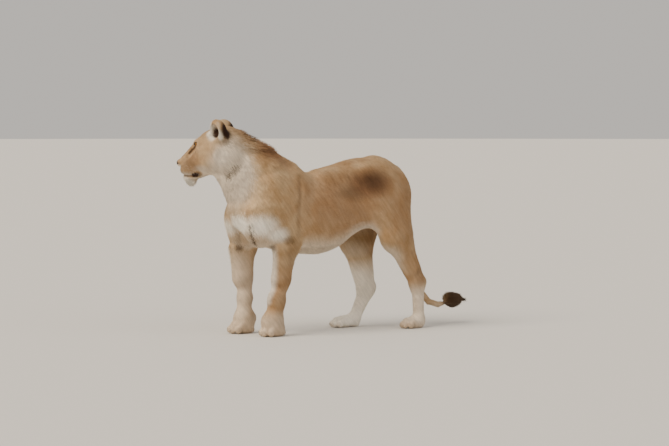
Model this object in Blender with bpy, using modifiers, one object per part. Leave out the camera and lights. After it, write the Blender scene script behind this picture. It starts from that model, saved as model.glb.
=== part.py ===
"""A lioness standing with her head turned to her right: a life-size, still museum model.

Metres, Z up, paws on Z = 0. She faces -Y and her own left is +X. The body is one smooth
field of muscles and bones, meshed once and then parted by thin cuts where a person would
name her parts. The outline is that of the coat, out to the tips of the hair.
"""

import math
from collections import namedtuple

import bmesh
import bpy
import numpy as np
from mathutils import Matrix, Vector

NAME = "lioness"
# the middle of the whole body's box, which becomes the origin
MIDDLE = (-0.027, 0.125)
VOXEL = 0.008            # grid of the first mesh
GAP = 0.0004             # gap left by each cut
SNAP = 0.00005           # a point this close to a cut counts as on it
BODY_TRIANGLES = 1900    # trunk, neck and legs, before the cuts
FINE_TRIANGLES = 3000    # head, ears and paws
TAIL_TRIANGLES = 300
FINE_BELOW = 0.09        # the paws, which keep more triangles, lie below this
EYE_RADIUS = 0.0172
EYE_CENTRE = (0.047, -0.074, 0.030)   # left eye, in the head's own axes
EYE_SIDES = 12
SHARP = math.radians(50)
FAR = 1.0                # field value where no form is near
REACH = 0.09             # how far past its own size a form is felt

COATS = {
    #                 sRGB hex    roughness
    "coat_tawny": ("B08A62", 0.85),
    "coat_pale": ("CDBBA2", 0.85),
    "coat_black": ("2A211B", 0.80),
    "nose_leather": ("2B201D", 0.45),
    "eye": ("9A6A26", 0.08),
}

Form = namedtuple("Form", "distance centre reach blend carve balls")
BODY, TAIL = [], []


def vec(value):
    return np.asarray(value, float)


def unit(value):
    value = vec(value)
    return value / np.linalg.norm(value)


def mix(start, end, share):
    return vec(start) * (1 - share) + vec(end) * share


def spline(x, xs, ys):
    """A smooth curve through the stations (xs, ys)."""
    slope = np.gradient(ys, xs)
    x = np.clip(x, xs[0], xs[-1])
    i = np.clip(np.searchsorted(xs, x) - 1, 0, len(xs) - 2)
    h = xs[i + 1] - xs[i]
    t = (x - xs[i]) / h
    return ((1 + 2 * t) * (1 - t) ** 2 * ys[i] + t * (1 - t) ** 2 * h * slope[i]
            + t * t * (3 - 2 * t) * ys[i + 1] + t * t * (t - 1) * h * slope[i + 1])


def turn_xyz(x, y, z):
    """Rotation matrix: degrees about X, then Y, then Z."""
    cx, cy, cz = (math.cos(math.radians(a)) for a in (x, y, z))
    sx, sy, sz = (math.sin(math.radians(a)) for a in (x, y, z))
    about_x = np.array([[1, 0, 0], [0, cx, -sx], [0, sx, cx]])
    about_y = np.array([[cy, 0, sy], [0, 1, 0], [-sy, 0, cy]])
    about_z = np.array([[cz, -sz, 0], [sz, cz, 0], [0, 0, 1]])
    return about_z @ about_y @ about_x


class Pose:
    """A set of local axes in the body."""

    def __init__(self, origin=(0, 0, 0), turn=None):
        self.origin = vec(origin)
        self.turn = np.eye(3) if turn is None else turn

    def point(self, local):
        return self.origin + self.turn @ vec(local)

    def way(self, local):
        return self.turn @ vec(local)


UPRIGHT = Pose()
# the head: turned to the right of the body and lowered, its own -Y towards the nose
HEAD_TURN, HEAD_DROP = 41.0, 14.0
HEAD = Pose((-0.115, -0.630, 1.098), turn_xyz(0, 0, -HEAD_TURN) @ turn_xyz(HEAD_DROP, 0, 0))


def lump(centre, radii, turn=(0, 0, 0), pose=UPRIGHT, blend=0.03, carve=False, into=BODY):
    """An egg-shaped mass, or with carve a hollow of that shape."""
    c, r = pose.point(centre), vec(radii)
    m = pose.turn @ turn_xyz(*turn)

    def distance(p):
        q = (p - c) @ m / r
        size = np.linalg.norm(q, axis=1)
        return size * (size - 1) / np.maximum(np.linalg.norm(q / r, axis=1), 1e-9)

    into.append(Form(distance, c, r.max(), blend, carve, [] if carve else [(c, r, m)]))


def limb(start, end, r0, r1, narrow=1.0, side=(1, 0, 0), pose=UPRIGHT, blend=0.03, carve=False,
         into=BODY):
    """A tapering round-ended mass from start to end, narrowed along side."""
    a, b = pose.point(start), pose.point(end)
    axis = b - a
    length = np.linalg.norm(axis)
    along = axis / length
    s = pose.way(side)
    s = unit(s - (s @ along) * along)

    def distance(p):
        off = p - a
        t = np.clip(off @ along / length, 0, 1)
        off = off - t[:, None] * axis
        off = off + (off @ s * (1 / narrow - 1))[:, None] * s
        return (np.linalg.norm(off, axis=1) - (r0 + (r1 - r0) * t)) * min(1, narrow)

    m = np.stack([s, np.cross(along, s), along], 1)
    count = min(12, max(2, 1 + int(length / (0.8 * min(r0, r1)))))
    balls = []
    for t in np.linspace(0, 1, count):
        r = r0 + (r1 - r0) * t
        balls.append((a + t * axis, np.array([r * narrow, r, r]), m))
    into.append(Form(distance, (a + b) / 2, length / 2 + max(r0, r1), blend, carve,
                     [] if carve else balls))


# ---------------------------------------------------------------- trunk
#    along  back's  belly's  half
#    body   height  height   width
STATIONS = (
    (-0.50, 0.890, 0.610, 0.098),
    (-0.43, 0.945, 0.550, 0.126),
    (-0.34, 0.985, 0.500, 0.148),
    (-0.22, 0.984, 0.472, 0.162),
    (-0.11, 0.950, 0.458, 0.172),
    (0.00, 0.960, 0.455, 0.172),
    (0.10, 0.984, 0.482, 0.164),
    (0.20, 1.016, 0.540, 0.148),
    (0.30, 1.030, 0.598, 0.136),
    (0.39, 1.027, 0.640, 0.130),
    (0.47, 1.008, 0.665, 0.118),
    (0.53, 0.970, 0.690, 0.095),
)
CHEST_CAP, RUMP_CAP = 0.070, 0.055   # how far the trunk's round ends reach
NARROWER_TOP = 0.18                  # a section narrows to the spine by this share
SQUARENESS = 2.15                    # 2 would be an ellipse


def trunk():
    ys, tops, bottoms, wides = (vec(column) for column in zip(*STATIONS))

    def section(y):
        top, bottom = spline(y, ys, tops), spline(y, ys, bottoms)
        return (top + bottom) / 2, (top - bottom) / 2, spline(y, ys, wides)

    def distance(p):
        mid, high, wide = section(p[:, 1])
        past = np.maximum((ys[0] - p[:, 1]) / CHEST_CAP, (p[:, 1] - ys[-1]) / RUMP_CAP)
        past = np.maximum(past, 0)
        up = (p[:, 2] - mid) / high
        wide = wide * (1 - NARROWER_TOP * np.clip(up, -1, 1))
        q = (np.abs(p[:, 0]) / wide) ** SQUARENESS + np.abs(up) ** SQUARENESS + past ** SQUARENESS
        return (q ** (1 / SQUARENESS) - 1) * np.minimum(wide, high)

    balls = []
    for y in np.linspace(ys[0], ys[-1], 20):
        mid, high, wide = section(np.array([y]))
        balls.append((vec((0, y, mid[0])), vec((wide[0], 0.07, high[0])), np.eye(3)))
    BODY.append(Form(distance, vec((0, 0.03, 0.74)), 0.72, 0.03, False, balls))
    for s in (1, -1):
        # loin muscle, hip point, seat bone, and the fold of skin from the belly to the knee
        limb((s * 0.050, 0.02, 0.895), (s * 0.052, 0.28, 0.940), 0.044, 0.048, 1.1, blend=0.05)
        lump((s * 0.086, 0.315, 0.935), (0.028, 0.055, 0.035), blend=0.06)
        lump((s * 0.060, 0.535, 0.820), (0.045, 0.050, 0.080), blend=0.06)
        limb((s * 0.104, 0.200, 0.665), (s * 0.118, 0.370, 0.655), 0.042, 0.046, 0.7, blend=0.06)
        lump((s * 0.095, 0.290, 0.735), (0.045, 0.090, 0.090), blend=0.06)
    limb((0, 0.40, 0.965), (0, 0.550, 0.905), 0.050, 0.042, blend=0.06)


# ---------------------------------------------------------------- legs
# Joints of each leg, from the top. The side is +1 for her left.
FORE = {
    1: dict(blade=(0.060, -0.215, 0.890), shoulder=(0.112, -0.450, 0.690),
            elbow=(0.124, -0.275, 0.515), wrist=(0.112, -0.340, 0.205),
            ball=(0.106, -0.360, 0.048), toe=(0.0, -1.0), stout=1.0, bow=0.004,
            pastern=(-0.014, 0.062)),
    -1: dict(blade=(-0.060, -0.230, 0.890), shoulder=(-0.118, -0.475, 0.670),
             elbow=(-0.130, -0.408, 0.505), wrist=(-0.140, -0.406, 0.205),
             ball=(-0.142, -0.428, 0.048), toe=(-0.08, -1.0), stout=0.84, bow=-0.016,
             pastern=(0.026, 0.070)),
}
HIND = {
    1: dict(hip=(0.085, 0.430, 0.830), knee=(0.146, 0.435, 0.550), hock=(0.124, 0.628, 0.262),
            ball=(0.130, 0.588, 0.046), toe=(0.05, -1.0), foot=0.050, stout=1.0),
    -1: dict(hip=(-0.085, 0.420, 0.830), knee=(-0.146, 0.335, 0.530), hock=(-0.124, 0.424, 0.224),
             ball=(-0.135, 0.262, 0.046), toe=(-0.05, -1.0), foot=0.085, stout=1.22),
}
FORE_PAW, HIND_PAW, HIND_PAW_HEIGHT = 1.06, 0.96, 0.82


def foreleg(s):
    joints = FORE[s]
    blade, shoulder, elbow, wrist, ball = (
        vec(joints[k]) for k in ("blade", "shoulder", "elbow", "wrist", "ball"))
    g, bow = joints["stout"], vec((0, joints["bow"], 0))
    # shoulder blade and the muscle over it, upper arm, triceps, point of the elbow
    limb(blade + (s * 0.012, 0.02, -0.02), shoulder + (s * -0.008, 0.05, 0.03), 0.050, 0.080, 0.60,
         blend=0.07)
    lump(mix(blade, shoulder, 0.62) + (s * 0.022, 0, 0), (0.058, 0.115, 0.15), (20, 0, 0),
         blend=0.07)
    lump((s * 0.098, -0.455, 0.665), (0.056, 0.060, 0.100), blend=0.07)
    limb(shoulder + (0, 0.035, -0.01), elbow + (0, -0.02, 0.02), 0.082, 0.068, 0.74, blend=0.07)
    limb(mix(blade, shoulder, 0.40) + (s * 0.035, 0.075, -0.05), elbow + (0, 0.022, 0.035), 0.080,
         0.045, 0.60, blend=0.04)
    lump(elbow + (0, 0.040, 0), (0.030, 0.034, 0.042), blend=0.035)
    # forearm: its core above and below, the muscle in front and the tendons behind
    middle = mix(elbow, wrist, 0.60) + bow
    limb(elbow + (0, -0.018, -0.01) + bow * 0.6, middle, 0.070, 0.054, 0.76, blend=0.03)
    limb(middle, mix(elbow, wrist, 0.95), 0.054, 0.043 * g, 0.82, blend=0.03)
    limb(elbow + (s * 0.010, -0.044, -0.02) + bow * 0.6, middle + (s * 0.004, -0.018, 0), 0.042,
         0.032, 0.9, blend=0.04)
    limb(elbow + (s * -0.006, 0.012, -0.03), mix(elbow, wrist, 0.75) + (0, 0.014, 0), 0.042,
         0.028 * g, 0.9, blend=0.03)
    lump(wrist + (0, -0.004, 0), (0.039 * g, 0.038 * g, 0.055), blend=0.05)
    limb(wrist, ball + (0, 0.004, 0.014), 0.043 * g, 0.053 * g, blend=0.04)
    shift, long = joints["pastern"]
    lump(ball + (0, shift, 0.038), (0.050, long, 0.055), blend=0.05)
    lump(wrist + (s * 0.006, 0.034 * g, -0.030), (0.013, 0.013, 0.018), blend=0.012)
    paw(ball, joints["toe"], FORE_PAW, 0.050, 1.0)


def hindleg(s):
    joints = HIND[s]
    hip, knee, hock, ball = (vec(joints[k]) for k in ("hip", "knee", "hock", "ball"))
    g = joints["stout"]
    turned = dict(side=(0.978, s * 0.208, 0))   # the knee points a little outwards
    # haunch, hamstrings, front of the thigh, knee
    limb(hip + (s * 0.012, -0.015, 0.02), mix(hip, knee, 0.78) + (0, 0.03, 0), 0.122, 0.096, 0.56,
         blend=0.07, **turned)
    limb(hip + (s * 0.018, 0.070, -0.03), mix(knee, hock, 0.22) + (0, 0.035, 0.03), 0.080, 0.060,
         0.64, blend=0.07, **turned)
    limb(hip + (s * 0.012, -0.07, -0.05), knee + (0, -0.008, 0.01), 0.070, 0.052, 0.74, blend=0.07,
         **turned)
    lump(knee + (0, -0.012, -0.005), (0.042, 0.050, 0.066), blend=0.05)
    # shank, calf, tendon to the heel, hock
    limb(knee + (0, 0.028, -0.02), mix(knee, hock, 0.88) + (0, -0.004, 0), 0.072 * g, 0.048 * g,
         0.66, blend=0.04, **turned)
    limb(knee + (0, 0.075, 0), mix(knee, hock, 0.66) + (0, 0.026, 0.012), 0.052, 0.030, 0.75,
         blend=0.05, **turned)
    heel = hock + (0, 0.040, 0.022)
    limb(mix(knee, hock, 0.50) + (0, 0.048, 0.02), heel, 0.026, 0.018, blend=0.035)
    lump(hock, (0.036, 0.050, 0.058), blend=0.03)
    lump(heel + (0, -0.004, -0.008), (0.022, 0.022, 0.030), blend=0.02)
    # long foot bones and instep
    ankle = ball + (0, joints["foot"], 0.002)
    limb(hock + (0, 0.006, 0), ankle, 0.042 * g, 0.036, 0.90, blend=0.03)
    limb(ankle, ball + (0, 0, -0.006), 0.034, 0.028, 1.15, blend=0.03)
    paw(ball, joints["toe"], HIND_PAW, joints["foot"], HIND_PAW_HEIGHT)


#        across  along   fan
TOES = ((-0.040, -0.022, 14), (-0.0145, -0.046, 4), (0.0145, -0.046, -4), (0.040, -0.022, -14))


def paw(ball, toe, k, back, rise):
    """Palm, heel pad and four knuckled toes with their pads; k is its size."""
    ahead = unit((*toe, 0))
    right = np.cross(ahead, (0, 0, 1))
    at = Pose((ball[0], ball[1], 0), np.stack([-right, -ahead, vec((0, 0, 1))], 1))
    lump((0, 0.008, 0.036 * k * rise), (0.052 * k, 0.060 * k, 0.040 * k * rise), pose=at)
    lump((0, back, 0.018), (0.030 * k, 0.030 * k, 0.020), pose=at, blend=0.02)
    for x, y, fan in TOES:
        spread = math.radians(fan)
        ahead = vec((-math.sin(spread), -math.cos(spread), 0))
        root = vec((x * 0.75, y + 0.030, 0.046 * rise)) * k
        tip = vec((x, y, 0.027)) * k
        knuckle = (root + tip) / 2 + vec((0, -0.006, 0.014 * rise)) * k
        limb(root, knuckle, 0.021 * k, 0.019 * k, 0.95, pose=at, blend=0.012)
        limb(knuckle, tip + ahead * 0.020 * k, 0.019 * k, 0.017 * k, 0.95, pose=at, blend=0.010)
        lump(tip + ahead * 0.016 * k + vec((0, 0, -0.012 * k)), (0.0145 * k, 0.018 * k, 0.015 * k),
             pose=at, blend=0.008)


# ---------------------------------------------------------------- neck and head
def neck():
    top = HEAD.point((0, 0.060, -0.050))
    limb((0, -0.30, 0.800), (-0.010, -0.425, 0.900), 0.190, 0.172, 0.74, blend=0.07)
    limb((-0.010, -0.425, 0.900), top, 0.172, 0.132, 0.80, side=(1, -0.3, 0), blend=0.06)
    limb((0, -0.450, 0.76), HEAD.point((0, 0.045, -0.110)), 0.100, 0.072, 0.85, blend=0.05)
    lump((0, -0.472, 0.690), (0.100, 0.078, 0.11), blend=0.07)
    for s in (1, -1):
        lump((s * 0.082, -0.436, 0.600), (0.054, 0.076, 0.085), blend=0.05)
    lump((-0.010, -0.560, 0.535), (0.030, 0.100, 0.090), blend=0.03, carve=True)
    limb((0, -0.20, 0.948), HEAD.point((0, 0.095, 0.030)), 0.045, 0.050, 0.9, blend=0.06)


def head():
    on = dict(pose=HEAD)
    # skull, forehead, bridge of the nose, muzzle, jaw, chin
    lump((0, 0.030, 0.004), (0.084, 0.118, 0.084), **on)
    lump((0, -0.022, 0.031), (0.062, 0.072, 0.052), (28, 0, 0), **on)
    limb((0, -0.092, 0.020), (0, -0.204, -0.050), 0.028, 0.023, 1.35, **on, blend=0.035)
    limb((0, -0.080, -0.050), (0, -0.160, -0.085), 0.062, 0.046, 1.10, **on)
    limb((0, -0.150, -0.138), (0, -0.010, -0.100), 0.030, 0.058, 1.30, **on)
    lump((0, -0.180, -0.148), (0.036, 0.034, 0.036), **on, blend=0.030)
    lump((0, -0.176, -0.166), (0.026, 0.023, 0.030), **on, blend=0.025)
    for s in (1, -1):
        # cheekbone, cheek, whisker pad, lip and its corner, brow, temple, ruff
        limb((s * 0.062, -0.064, -0.016), (s * 0.084, 0.020, -0.010), 0.024, 0.028, **on, blend=0.035)
        limb((s * 0.036, -0.130, -0.078), (s * 0.062, -0.040, -0.078), 0.036, 0.046, **on, blend=0.04)
        lump((s * 0.064, -0.004, -0.070), (0.040, 0.070, 0.075), **on, blend=0.04)
        lump((s * 0.031, -0.173, -0.094), (0.034, 0.043, 0.034), (0, 0, s * 12), **on, blend=0.014)
        lump((s * 0.043, -0.142, -0.112), (0.019, 0.048, 0.028), (-14, 0, s * 14), **on)
        limb((s * 0.020, -0.186, -0.140), (s * 0.050, -0.118, -0.146), 0.016, 0.014, **on, blend=0.025)
        limb((s * 0.030, -0.072, 0.040), (s * 0.060, -0.048, 0.046), 0.016, 0.019, **on)
        lump((s * 0.058, 0.004, 0.028), (0.034, 0.06, 0.045), **on)
        lump((s * 0.066, 0.070, -0.080), (0.052, 0.075, 0.090), **on, blend=0.05)
    lump((0, -0.214, -0.047), (0.030, 0.018, 0.017), (30, 0, 0), **on, blend=0.010)
    for s in (1, -1):
        # hollow before the eye and the line down from its inner corner
        lump((s * 0.056, -0.106, 0.022), (0.017, 0.015, 0.014), **on, blend=0.025, carve=True)
        limb((s * 0.040, -0.112, 0.014), (s * 0.036, -0.142, -0.022), 0.008, 0.006, **on, blend=0.02,
             carve=True)
        ear(s)


def ear(s):
    """A round cupped ear, open forwards and outwards."""
    turn = HEAD.turn @ turn_xyz(0, s * 22, 0) @ turn_xyz(-4, 0, s * 42)
    on = dict(pose=Pose(HEAD.point((s * 0.078, 0.064, 0.036)), turn))
    lump((0, 0.006, 0.043), (0.061, 0.043, 0.064), **on, blend=0.02)
    lump((0, 0.006, 0), (0.052, 0.044, 0.042), **on)
    lump((0, -0.058, 0.048), (0.0436, 0.074, 0.0456), **on, blend=0.010, carve=True)


#              x      y      z    radius
TAIL_LINE = ((0.000, 0.550, 0.915, 0.042), (0.008, 0.590, 0.880, 0.034), (0.028, 0.604, 0.800, 0.031),
             (0.044, 0.606, 0.680, 0.028), (0.052, 0.618, 0.560, 0.026), (0.055, 0.644, 0.430, 0.025),
             (0.056, 0.670, 0.300, 0.023), (0.053, 0.700, 0.212, 0.022), (0.047, 0.762, 0.147, 0.021),
             (0.040, 0.835, 0.124, 0.020), (0.036, 0.895, 0.130, 0.020))


def tail():
    for (*a, ra), (*b, rb) in zip(TAIL_LINE, TAIL_LINE[1:]):
        limb(a, b, ra, rb, blend=0.004, into=TAIL)
    lump((0.032, 0.940, 0.146), (0.046, 0.066, 0.052), (-6, 0, 0), blend=0.02, into=TAIL)
    limb((0.030, 0.975, 0.150), (0.026, 1.035, 0.140), 0.040, 0.015, blend=0.02, into=TAIL)


# ---------------------------------------------------------------- field to mesh
def field(p, forms):
    """Signed distance of the blended forms, negative inside."""
    d = np.full(len(p), FAR)
    for f in forms:
        near = ((p - f.centre) ** 2).sum(1) < (f.reach + REACH) ** 2
        if not near.any():
            continue
        a = -d[near] if f.carve else d[near]
        b = f.distance(p[near])
        h = np.maximum(f.blend - np.abs(a - b), 0) / f.blend
        a = np.minimum(a, b) - h * h * f.blend / 4
        d[near] = -a if f.carve else a
    return d


def points_of(mesh):
    flat = np.empty(len(mesh.vertices) * 3, np.float32)
    mesh.vertices.foreach_get("co", flat)
    return flat.reshape(-1, 3).astype(float)


def settle(mesh, forms, rounds):
    """Moves the mesh onto the field's surface."""
    p = points_of(mesh)
    step = 0.001
    for _ in range(rounds):
        d = field(p, forms)
        slope = np.stack([(field(p + step * axis, forms) - d) / step for axis in np.eye(3)], 1)
        push = np.clip(d / np.maximum((slope ** 2).sum(1), 0.1), -0.015, 0.015)
        p -= push[:, None] * slope
    mesh.vertices.foreach_set("co", p.astype(np.float32).ravel())
    mesh.update()


def evaluated(obj):
    bpy.context.view_layer.update()
    graph = bpy.context.evaluated_depsgraph_get()
    return bpy.data.meshes.new_from_object(obj.evaluated_get(graph))


def modified(mesh, kind, **settings):
    """A copy of the mesh with one modifier applied, and the old mesh removed."""
    obj = bpy.data.objects.new("work", mesh)
    bpy.context.scene.collection.objects.link(obj)
    group = settings.pop("group", None)
    if group is not None:
        obj.vertex_groups.clear()
        obj.vertex_groups.new(name="group").add(group.tolist(), 1.0, "REPLACE")
        settings["vertex_group"] = "group"
    change = obj.modifiers.new("change", kind)
    for key, value in settings.items():
        setattr(change, key, value)
    result = evaluated(obj)
    bpy.data.objects.remove(obj)
    bpy.data.meshes.remove(mesh)
    return result


def relax(mesh, rounds):
    bm = bmesh.new()
    bm.from_mesh(mesh)
    for _ in range(rounds):
        bmesh.ops.smooth_vert(bm, verts=bm.verts, factor=0.5, use_axis_x=True, use_axis_y=True,
                              use_axis_z=True)
    bm.to_mesh(mesh)
    bm.free()


def sculpt(forms):
    """The closed mesh of a field: balls joined on a grid, then moved onto the surface."""
    bm = bmesh.new()
    for f in forms:
        for centre, radii, turn in f.balls:
            place = Matrix.Translation(Vector(centre)) @ Matrix(turn.tolist()).to_4x4()
            bmesh.ops.create_icosphere(bm, subdivisions=2, radius=1.0,
                                       matrix=place @ Matrix.Diagonal((*radii, 1)))
    mesh = bpy.data.meshes.new("clay")
    bm.to_mesh(mesh)
    bm.free()
    for rounds in (4, 3):
        mesh = modified(mesh, "REMESH", mode="VOXEL", voxel_size=VOXEL)
        relax(mesh, 2)
        settle(mesh, forms, rounds)
    return mesh


def triangles(mesh):
    return sum(len(f.vertices) - 2 for f in mesh.polygons)


def thinned(mesh, chosen, left):
    """Collapses the mesh within the chosen points until `left` triangles remain in all."""
    return modified(mesh, "DECIMATE", ratio=left / triangles(mesh), group=chosen,
                    vertex_group_factor=1.0)


# ---------------------------------------------------------------- parting
def half(mesh, point, normal, keep):
    """The closed part of the mesh on one side of a cut; keep is +1 for the normal's side."""
    way = Vector(unit(normal)) * keep
    bm = bmesh.new()
    bm.from_mesh(mesh)
    cut = bmesh.ops.bisect_plane(bm, geom=bm.verts[:] + bm.edges[:] + bm.faces[:], dist=SNAP,
                                 plane_co=Vector(point) + way * GAP / 2, plane_no=way,
                                 clear_inner=True)
    on_cut = set(cut["geom_cut"])
    flat = [f for f in bm.faces if on_cut.issuperset(f.verts)]
    bmesh.ops.delete(bm, geom=flat, context="FACES")
    bmesh.ops.holes_fill(bm, edges=[e for e in bm.edges if e.is_boundary], sides=0)
    bmesh.ops.recalc_face_normals(bm, faces=bm.faces)
    bmesh.ops.triangulate(bm, faces=[f for f in bm.faces if len(f.verts) > 4])
    result = bpy.data.meshes.new(mesh.name)
    bm.to_mesh(result)
    bm.free()
    return result


def part(mesh, point, normal):
    """Both sides of a cut: that of the normal first."""
    return half(mesh, point, normal, 1), half(mesh, point, normal, -1)


def islands(mesh):
    """The separate bodies of a mesh, each as its own mesh."""
    bm = bmesh.new()
    bm.from_mesh(mesh)
    bm.verts.ensure_lookup_table()
    found, seen = [], set()
    for first in bm.verts:
        if first.index in seen:
            continue
        todo, members = [first], {first.index}
        while todo:
            for edge in todo.pop().link_edges:
                for v in edge.verts:
                    if v.index not in members:
                        members.add(v.index)
                        todo.append(v)
        seen |= members
        found.append(members)
    bm.free()
    pieces = []
    for members in found:
        piece = bmesh.new()
        piece.from_mesh(mesh)
        piece.verts.ensure_lookup_table()
        bmesh.ops.delete(piece, geom=[v for v in piece.verts if v.index not in members],
                         context="VERTS")
        result = bpy.data.meshes.new(mesh.name)
        piece.to_mesh(result)
        piece.free()
        pieces.append(result)
    return pieces


def nearest(pieces, point):
    """The piece with a vertex nearest to the point."""
    return min(pieces, key=lambda m: ((points_of(m) - vec(point)) ** 2).sum(1).min())


def lower_leg(pieces, top, joint_height, foot):
    """One lower leg of the four, cut level at its wrist or hock: upper and lower piece."""
    leg = nearest(pieces, top)
    return part(leg, (*foot[:2], joint_height), (0, 0, 1))


def without(mesh, tool):
    """The mesh with the tool's shape cut out of it."""
    cutter = bpy.data.objects.new("cutter", tool)
    bpy.context.scene.collection.objects.link(cutter)
    cutter.hide_render = True
    cutter.display_type = "WIRE"
    result = modified(mesh, "BOOLEAN", operation="DIFFERENCE", solver="EXACT", object=cutter)
    bpy.data.objects.remove(cutter)
    return result


def part_corner(mesh, *cuts):
    """Both sides of a cut made by several planes: the corner that their normals share first."""
    bm = bmesh.new()
    bmesh.ops.create_cube(bm, size=4)
    block = bpy.data.meshes.new("block")
    bm.to_mesh(block)
    bm.free()
    corner = mesh
    for point, normal in cuts:
        corner = half(corner, point, normal, 1)
        block = half(block, vec(point) - GAP * unit(normal), normal, 1)
    return corner, without(mesh, block)


def swollen(mesh, by):
    """A copy of the mesh grown along its normals."""
    copy = mesh.copy()
    grown = [v.co + v.normal * by for v in copy.vertices]
    for v, co in zip(copy.vertices, grown):
        v.co = co
    return copy


def ball(centre, radius, segments):
    bm = bmesh.new()
    bmesh.ops.create_uvsphere(bm, u_segments=segments, v_segments=segments // 2, radius=radius,
                              matrix=Matrix.Translation(Vector(centre)))
    mesh = bpy.data.meshes.new("eye")
    bm.to_mesh(mesh)
    bm.free()
    return mesh


# where each cut passes, and the way it faces
HEAD_CUT = (HEAD.point((0, 0.090, -0.035)), HEAD.way((0, -0.914, 0.406)))
NOSE_CUT = (HEAD.point((0, -0.213, -0.050)), HEAD.way((0, -0.90, 0.43)))
BROW_CUT = (HEAD.point((0, 0.018, 0)), HEAD.way((0, 1, 0)))
NECK_CUT = ((0, -0.44, 0.86), (-0.05, -0.62, 0.78))
KNEE_LEVEL, WRIST_LEVEL, HOCK_LEVEL = 0.435, 0.165, 0.190
CHEST_END, BARREL_END = -0.060, 0.222
TAIL_LEVELS, TUFT_START = (0.62, 0.33), 0.872


def midline(s):
    return (0, 0, 0), (s, 0, 0)


def ear_cut(s):
    return HEAD.point((s * 0.078, 0.064, 0.034)), HEAD.way((s * 0.60, 0, 0.80))


def arm_cut(s):
    return (s * 0.078, FORE[s]["elbow"][1] - 0.02, 0.50), (s * 0.75, -0.25, -0.60)


def thigh_cut(s):
    return (s * 0.012, 0.40, 0.600), (s * 0.76, 0, -0.65)


def carve_up(body):
    """Names the pieces of the body mesh."""
    pieces = {}
    top, rest = part(body, *HEAD_CUT)
    for s, side in ((1, "left"), (-1, "right")):
        pieces["ear_" + side], top = part_corner(top, ear_cut(s), BROW_CUT)
    pieces["nose"], top = part(top, *NOSE_CUT)
    pieces["head"] = top
    pieces["neck"], rest = part(rest, *NECK_CUT)
    rest, lower = part(rest, (0, 0, KNEE_LEVEL), (0, 0, 1))
    legs = islands(lower)
    for s, side in ((1, "left"), (-1, "right")):
        fore = lower_leg(legs, FORE[s]["wrist"], WRIST_LEVEL, FORE[s]["ball"])
        pieces["forearm_" + side], pieces["forepaw_" + side] = fore
        hind = lower_leg(legs, HIND[s]["hock"], HOCK_LEVEL, HIND[s]["ball"])
        pieces["shank_" + side], pieces["hindpaw_" + side] = hind
    rest, chest = part(rest, (0, CHEST_END, 0), (0, 1, 0))
    rump, pieces["barrel"] = part(rest, (0, BARREL_END, 0), (0, 1, 0))
    for s, side in ((1, "left"), (-1, "right")):
        pieces["upper_arm_" + side], chest = part(chest, *arm_cut(s))
        pieces["thigh_" + side], rump = part_corner(rump, thigh_cut(s), midline(s))
    pieces["chest"], pieces["hindquarters"] = chest, rump
    return pieces


def carve_tail(mesh):
    upper, low = part(mesh, (0, 0, TAIL_LEVELS[1]), (0, 0, 1))
    tuft, end = part(low, (0, TUFT_START, 0), (0, 1, 0))
    root, middle = part(upper, (0, 0, TAIL_LEVELS[0]), (0, 0, 1))
    return {"tail_root": root, "tail_middle": middle, "tail_end": end, "tail_tuft": tuft}


# ---------------------------------------------------------------- objects
def linear(hexed):
    """An sRGB hex colour as linear values."""
    for k in (0, 2, 4):
        c = int(hexed[k:k + 2], 16) / 255
        yield c / 12.92 if c <= 0.04045 else ((c + 0.055) / 1.055) ** 2.4


def coat(slot):
    """The material of a slot, made once."""
    known = bpy.data.materials.get(slot)
    if known:
        return known
    colour, roughness = COATS[slot]
    material = bpy.data.materials.new(slot)
    material.use_nodes = True
    shader = material.node_tree.nodes["Principled BSDF"]
    shader.inputs["Base Color"].default_value = (*linear(colour), 1)
    shader.inputs["Roughness"].default_value = roughness
    shader.inputs["Metallic"].default_value = 0.0
    return material


def slot_of(name):
    if name.startswith("eye"):
        return "eye"
    if name.startswith("tail_tuft"):
        return "coat_black"
    if name.startswith("nose"):
        return "nose_leather"
    if name.startswith(("hindpaw", "forepaw")):
        return "coat_pale"
    return "coat_tawny"


def place(name, mesh, home):
    mesh.transform(Matrix.Translation((-MIDDLE[0], -MIDDLE[1], 0)))
    mesh.materials.clear()
    mesh.materials.append(coat(slot_of(name)))
    for f in mesh.polygons:
        f.use_smooth = True
    mesh.set_sharp_from_angle(angle=SHARP)
    mesh.name = name
    home.objects.link(bpy.data.objects.new(name, mesh))


def fine_points(mesh):
    """Whether each point is on the head or the paws, whose shapes are smaller."""
    p = points_of(mesh)
    return ((p - HEAD_CUT[0]) @ unit(HEAD_CUT[1]) > 0) | (p[:, 2] < FINE_BELOW)


def make_forms():
    trunk()
    neck()
    head()
    for s in (1, -1):
        foreleg(s)
        hindleg(s)
    tail()


def make_body():
    """The whole body but its tail, standing flat on the floor."""
    body = sculpt(BODY)
    fine = fine_points(body)
    left = int(triangles(body) * fine.mean()) + BODY_TRIANGLES
    body = thinned(body, np.flatnonzero(~fine), left)
    fine = fine_points(body)
    body = thinned(body, np.flatnonzero(fine), BODY_TRIANGLES + FINE_TRIANGLES)
    return half(body, (0, 0, -GAP / 2), (0, 0, 1), 1)


def main():
    for obj in list(bpy.data.objects):
        bpy.data.objects.remove(obj)
    home = bpy.data.collections.new(NAME)
    bpy.context.scene.collection.children.link(home)
    make_forms()
    body = make_body()
    whip = sculpt(TAIL)
    whip = thinned(whip, np.arange(len(whip.vertices)), TAIL_TRIANGLES)
    body = without(body, swollen(whip, GAP))
    eyes = {"eye_left": HEAD.point(EYE_CENTRE),
            "eye_right": HEAD.point((-EYE_CENTRE[0], *EYE_CENTRE[1:]))}
    for centre in eyes.values():
        body = without(body, ball(centre, EYE_RADIUS + GAP, EYE_SIDES))
    for name, mesh in {**carve_up(body), **carve_tail(whip)}.items():
        place(name, mesh, home)
    for name, centre in eyes.items():
        place(name, ball(centre, EYE_RADIUS, EYE_SIDES), home)

main()
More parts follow.
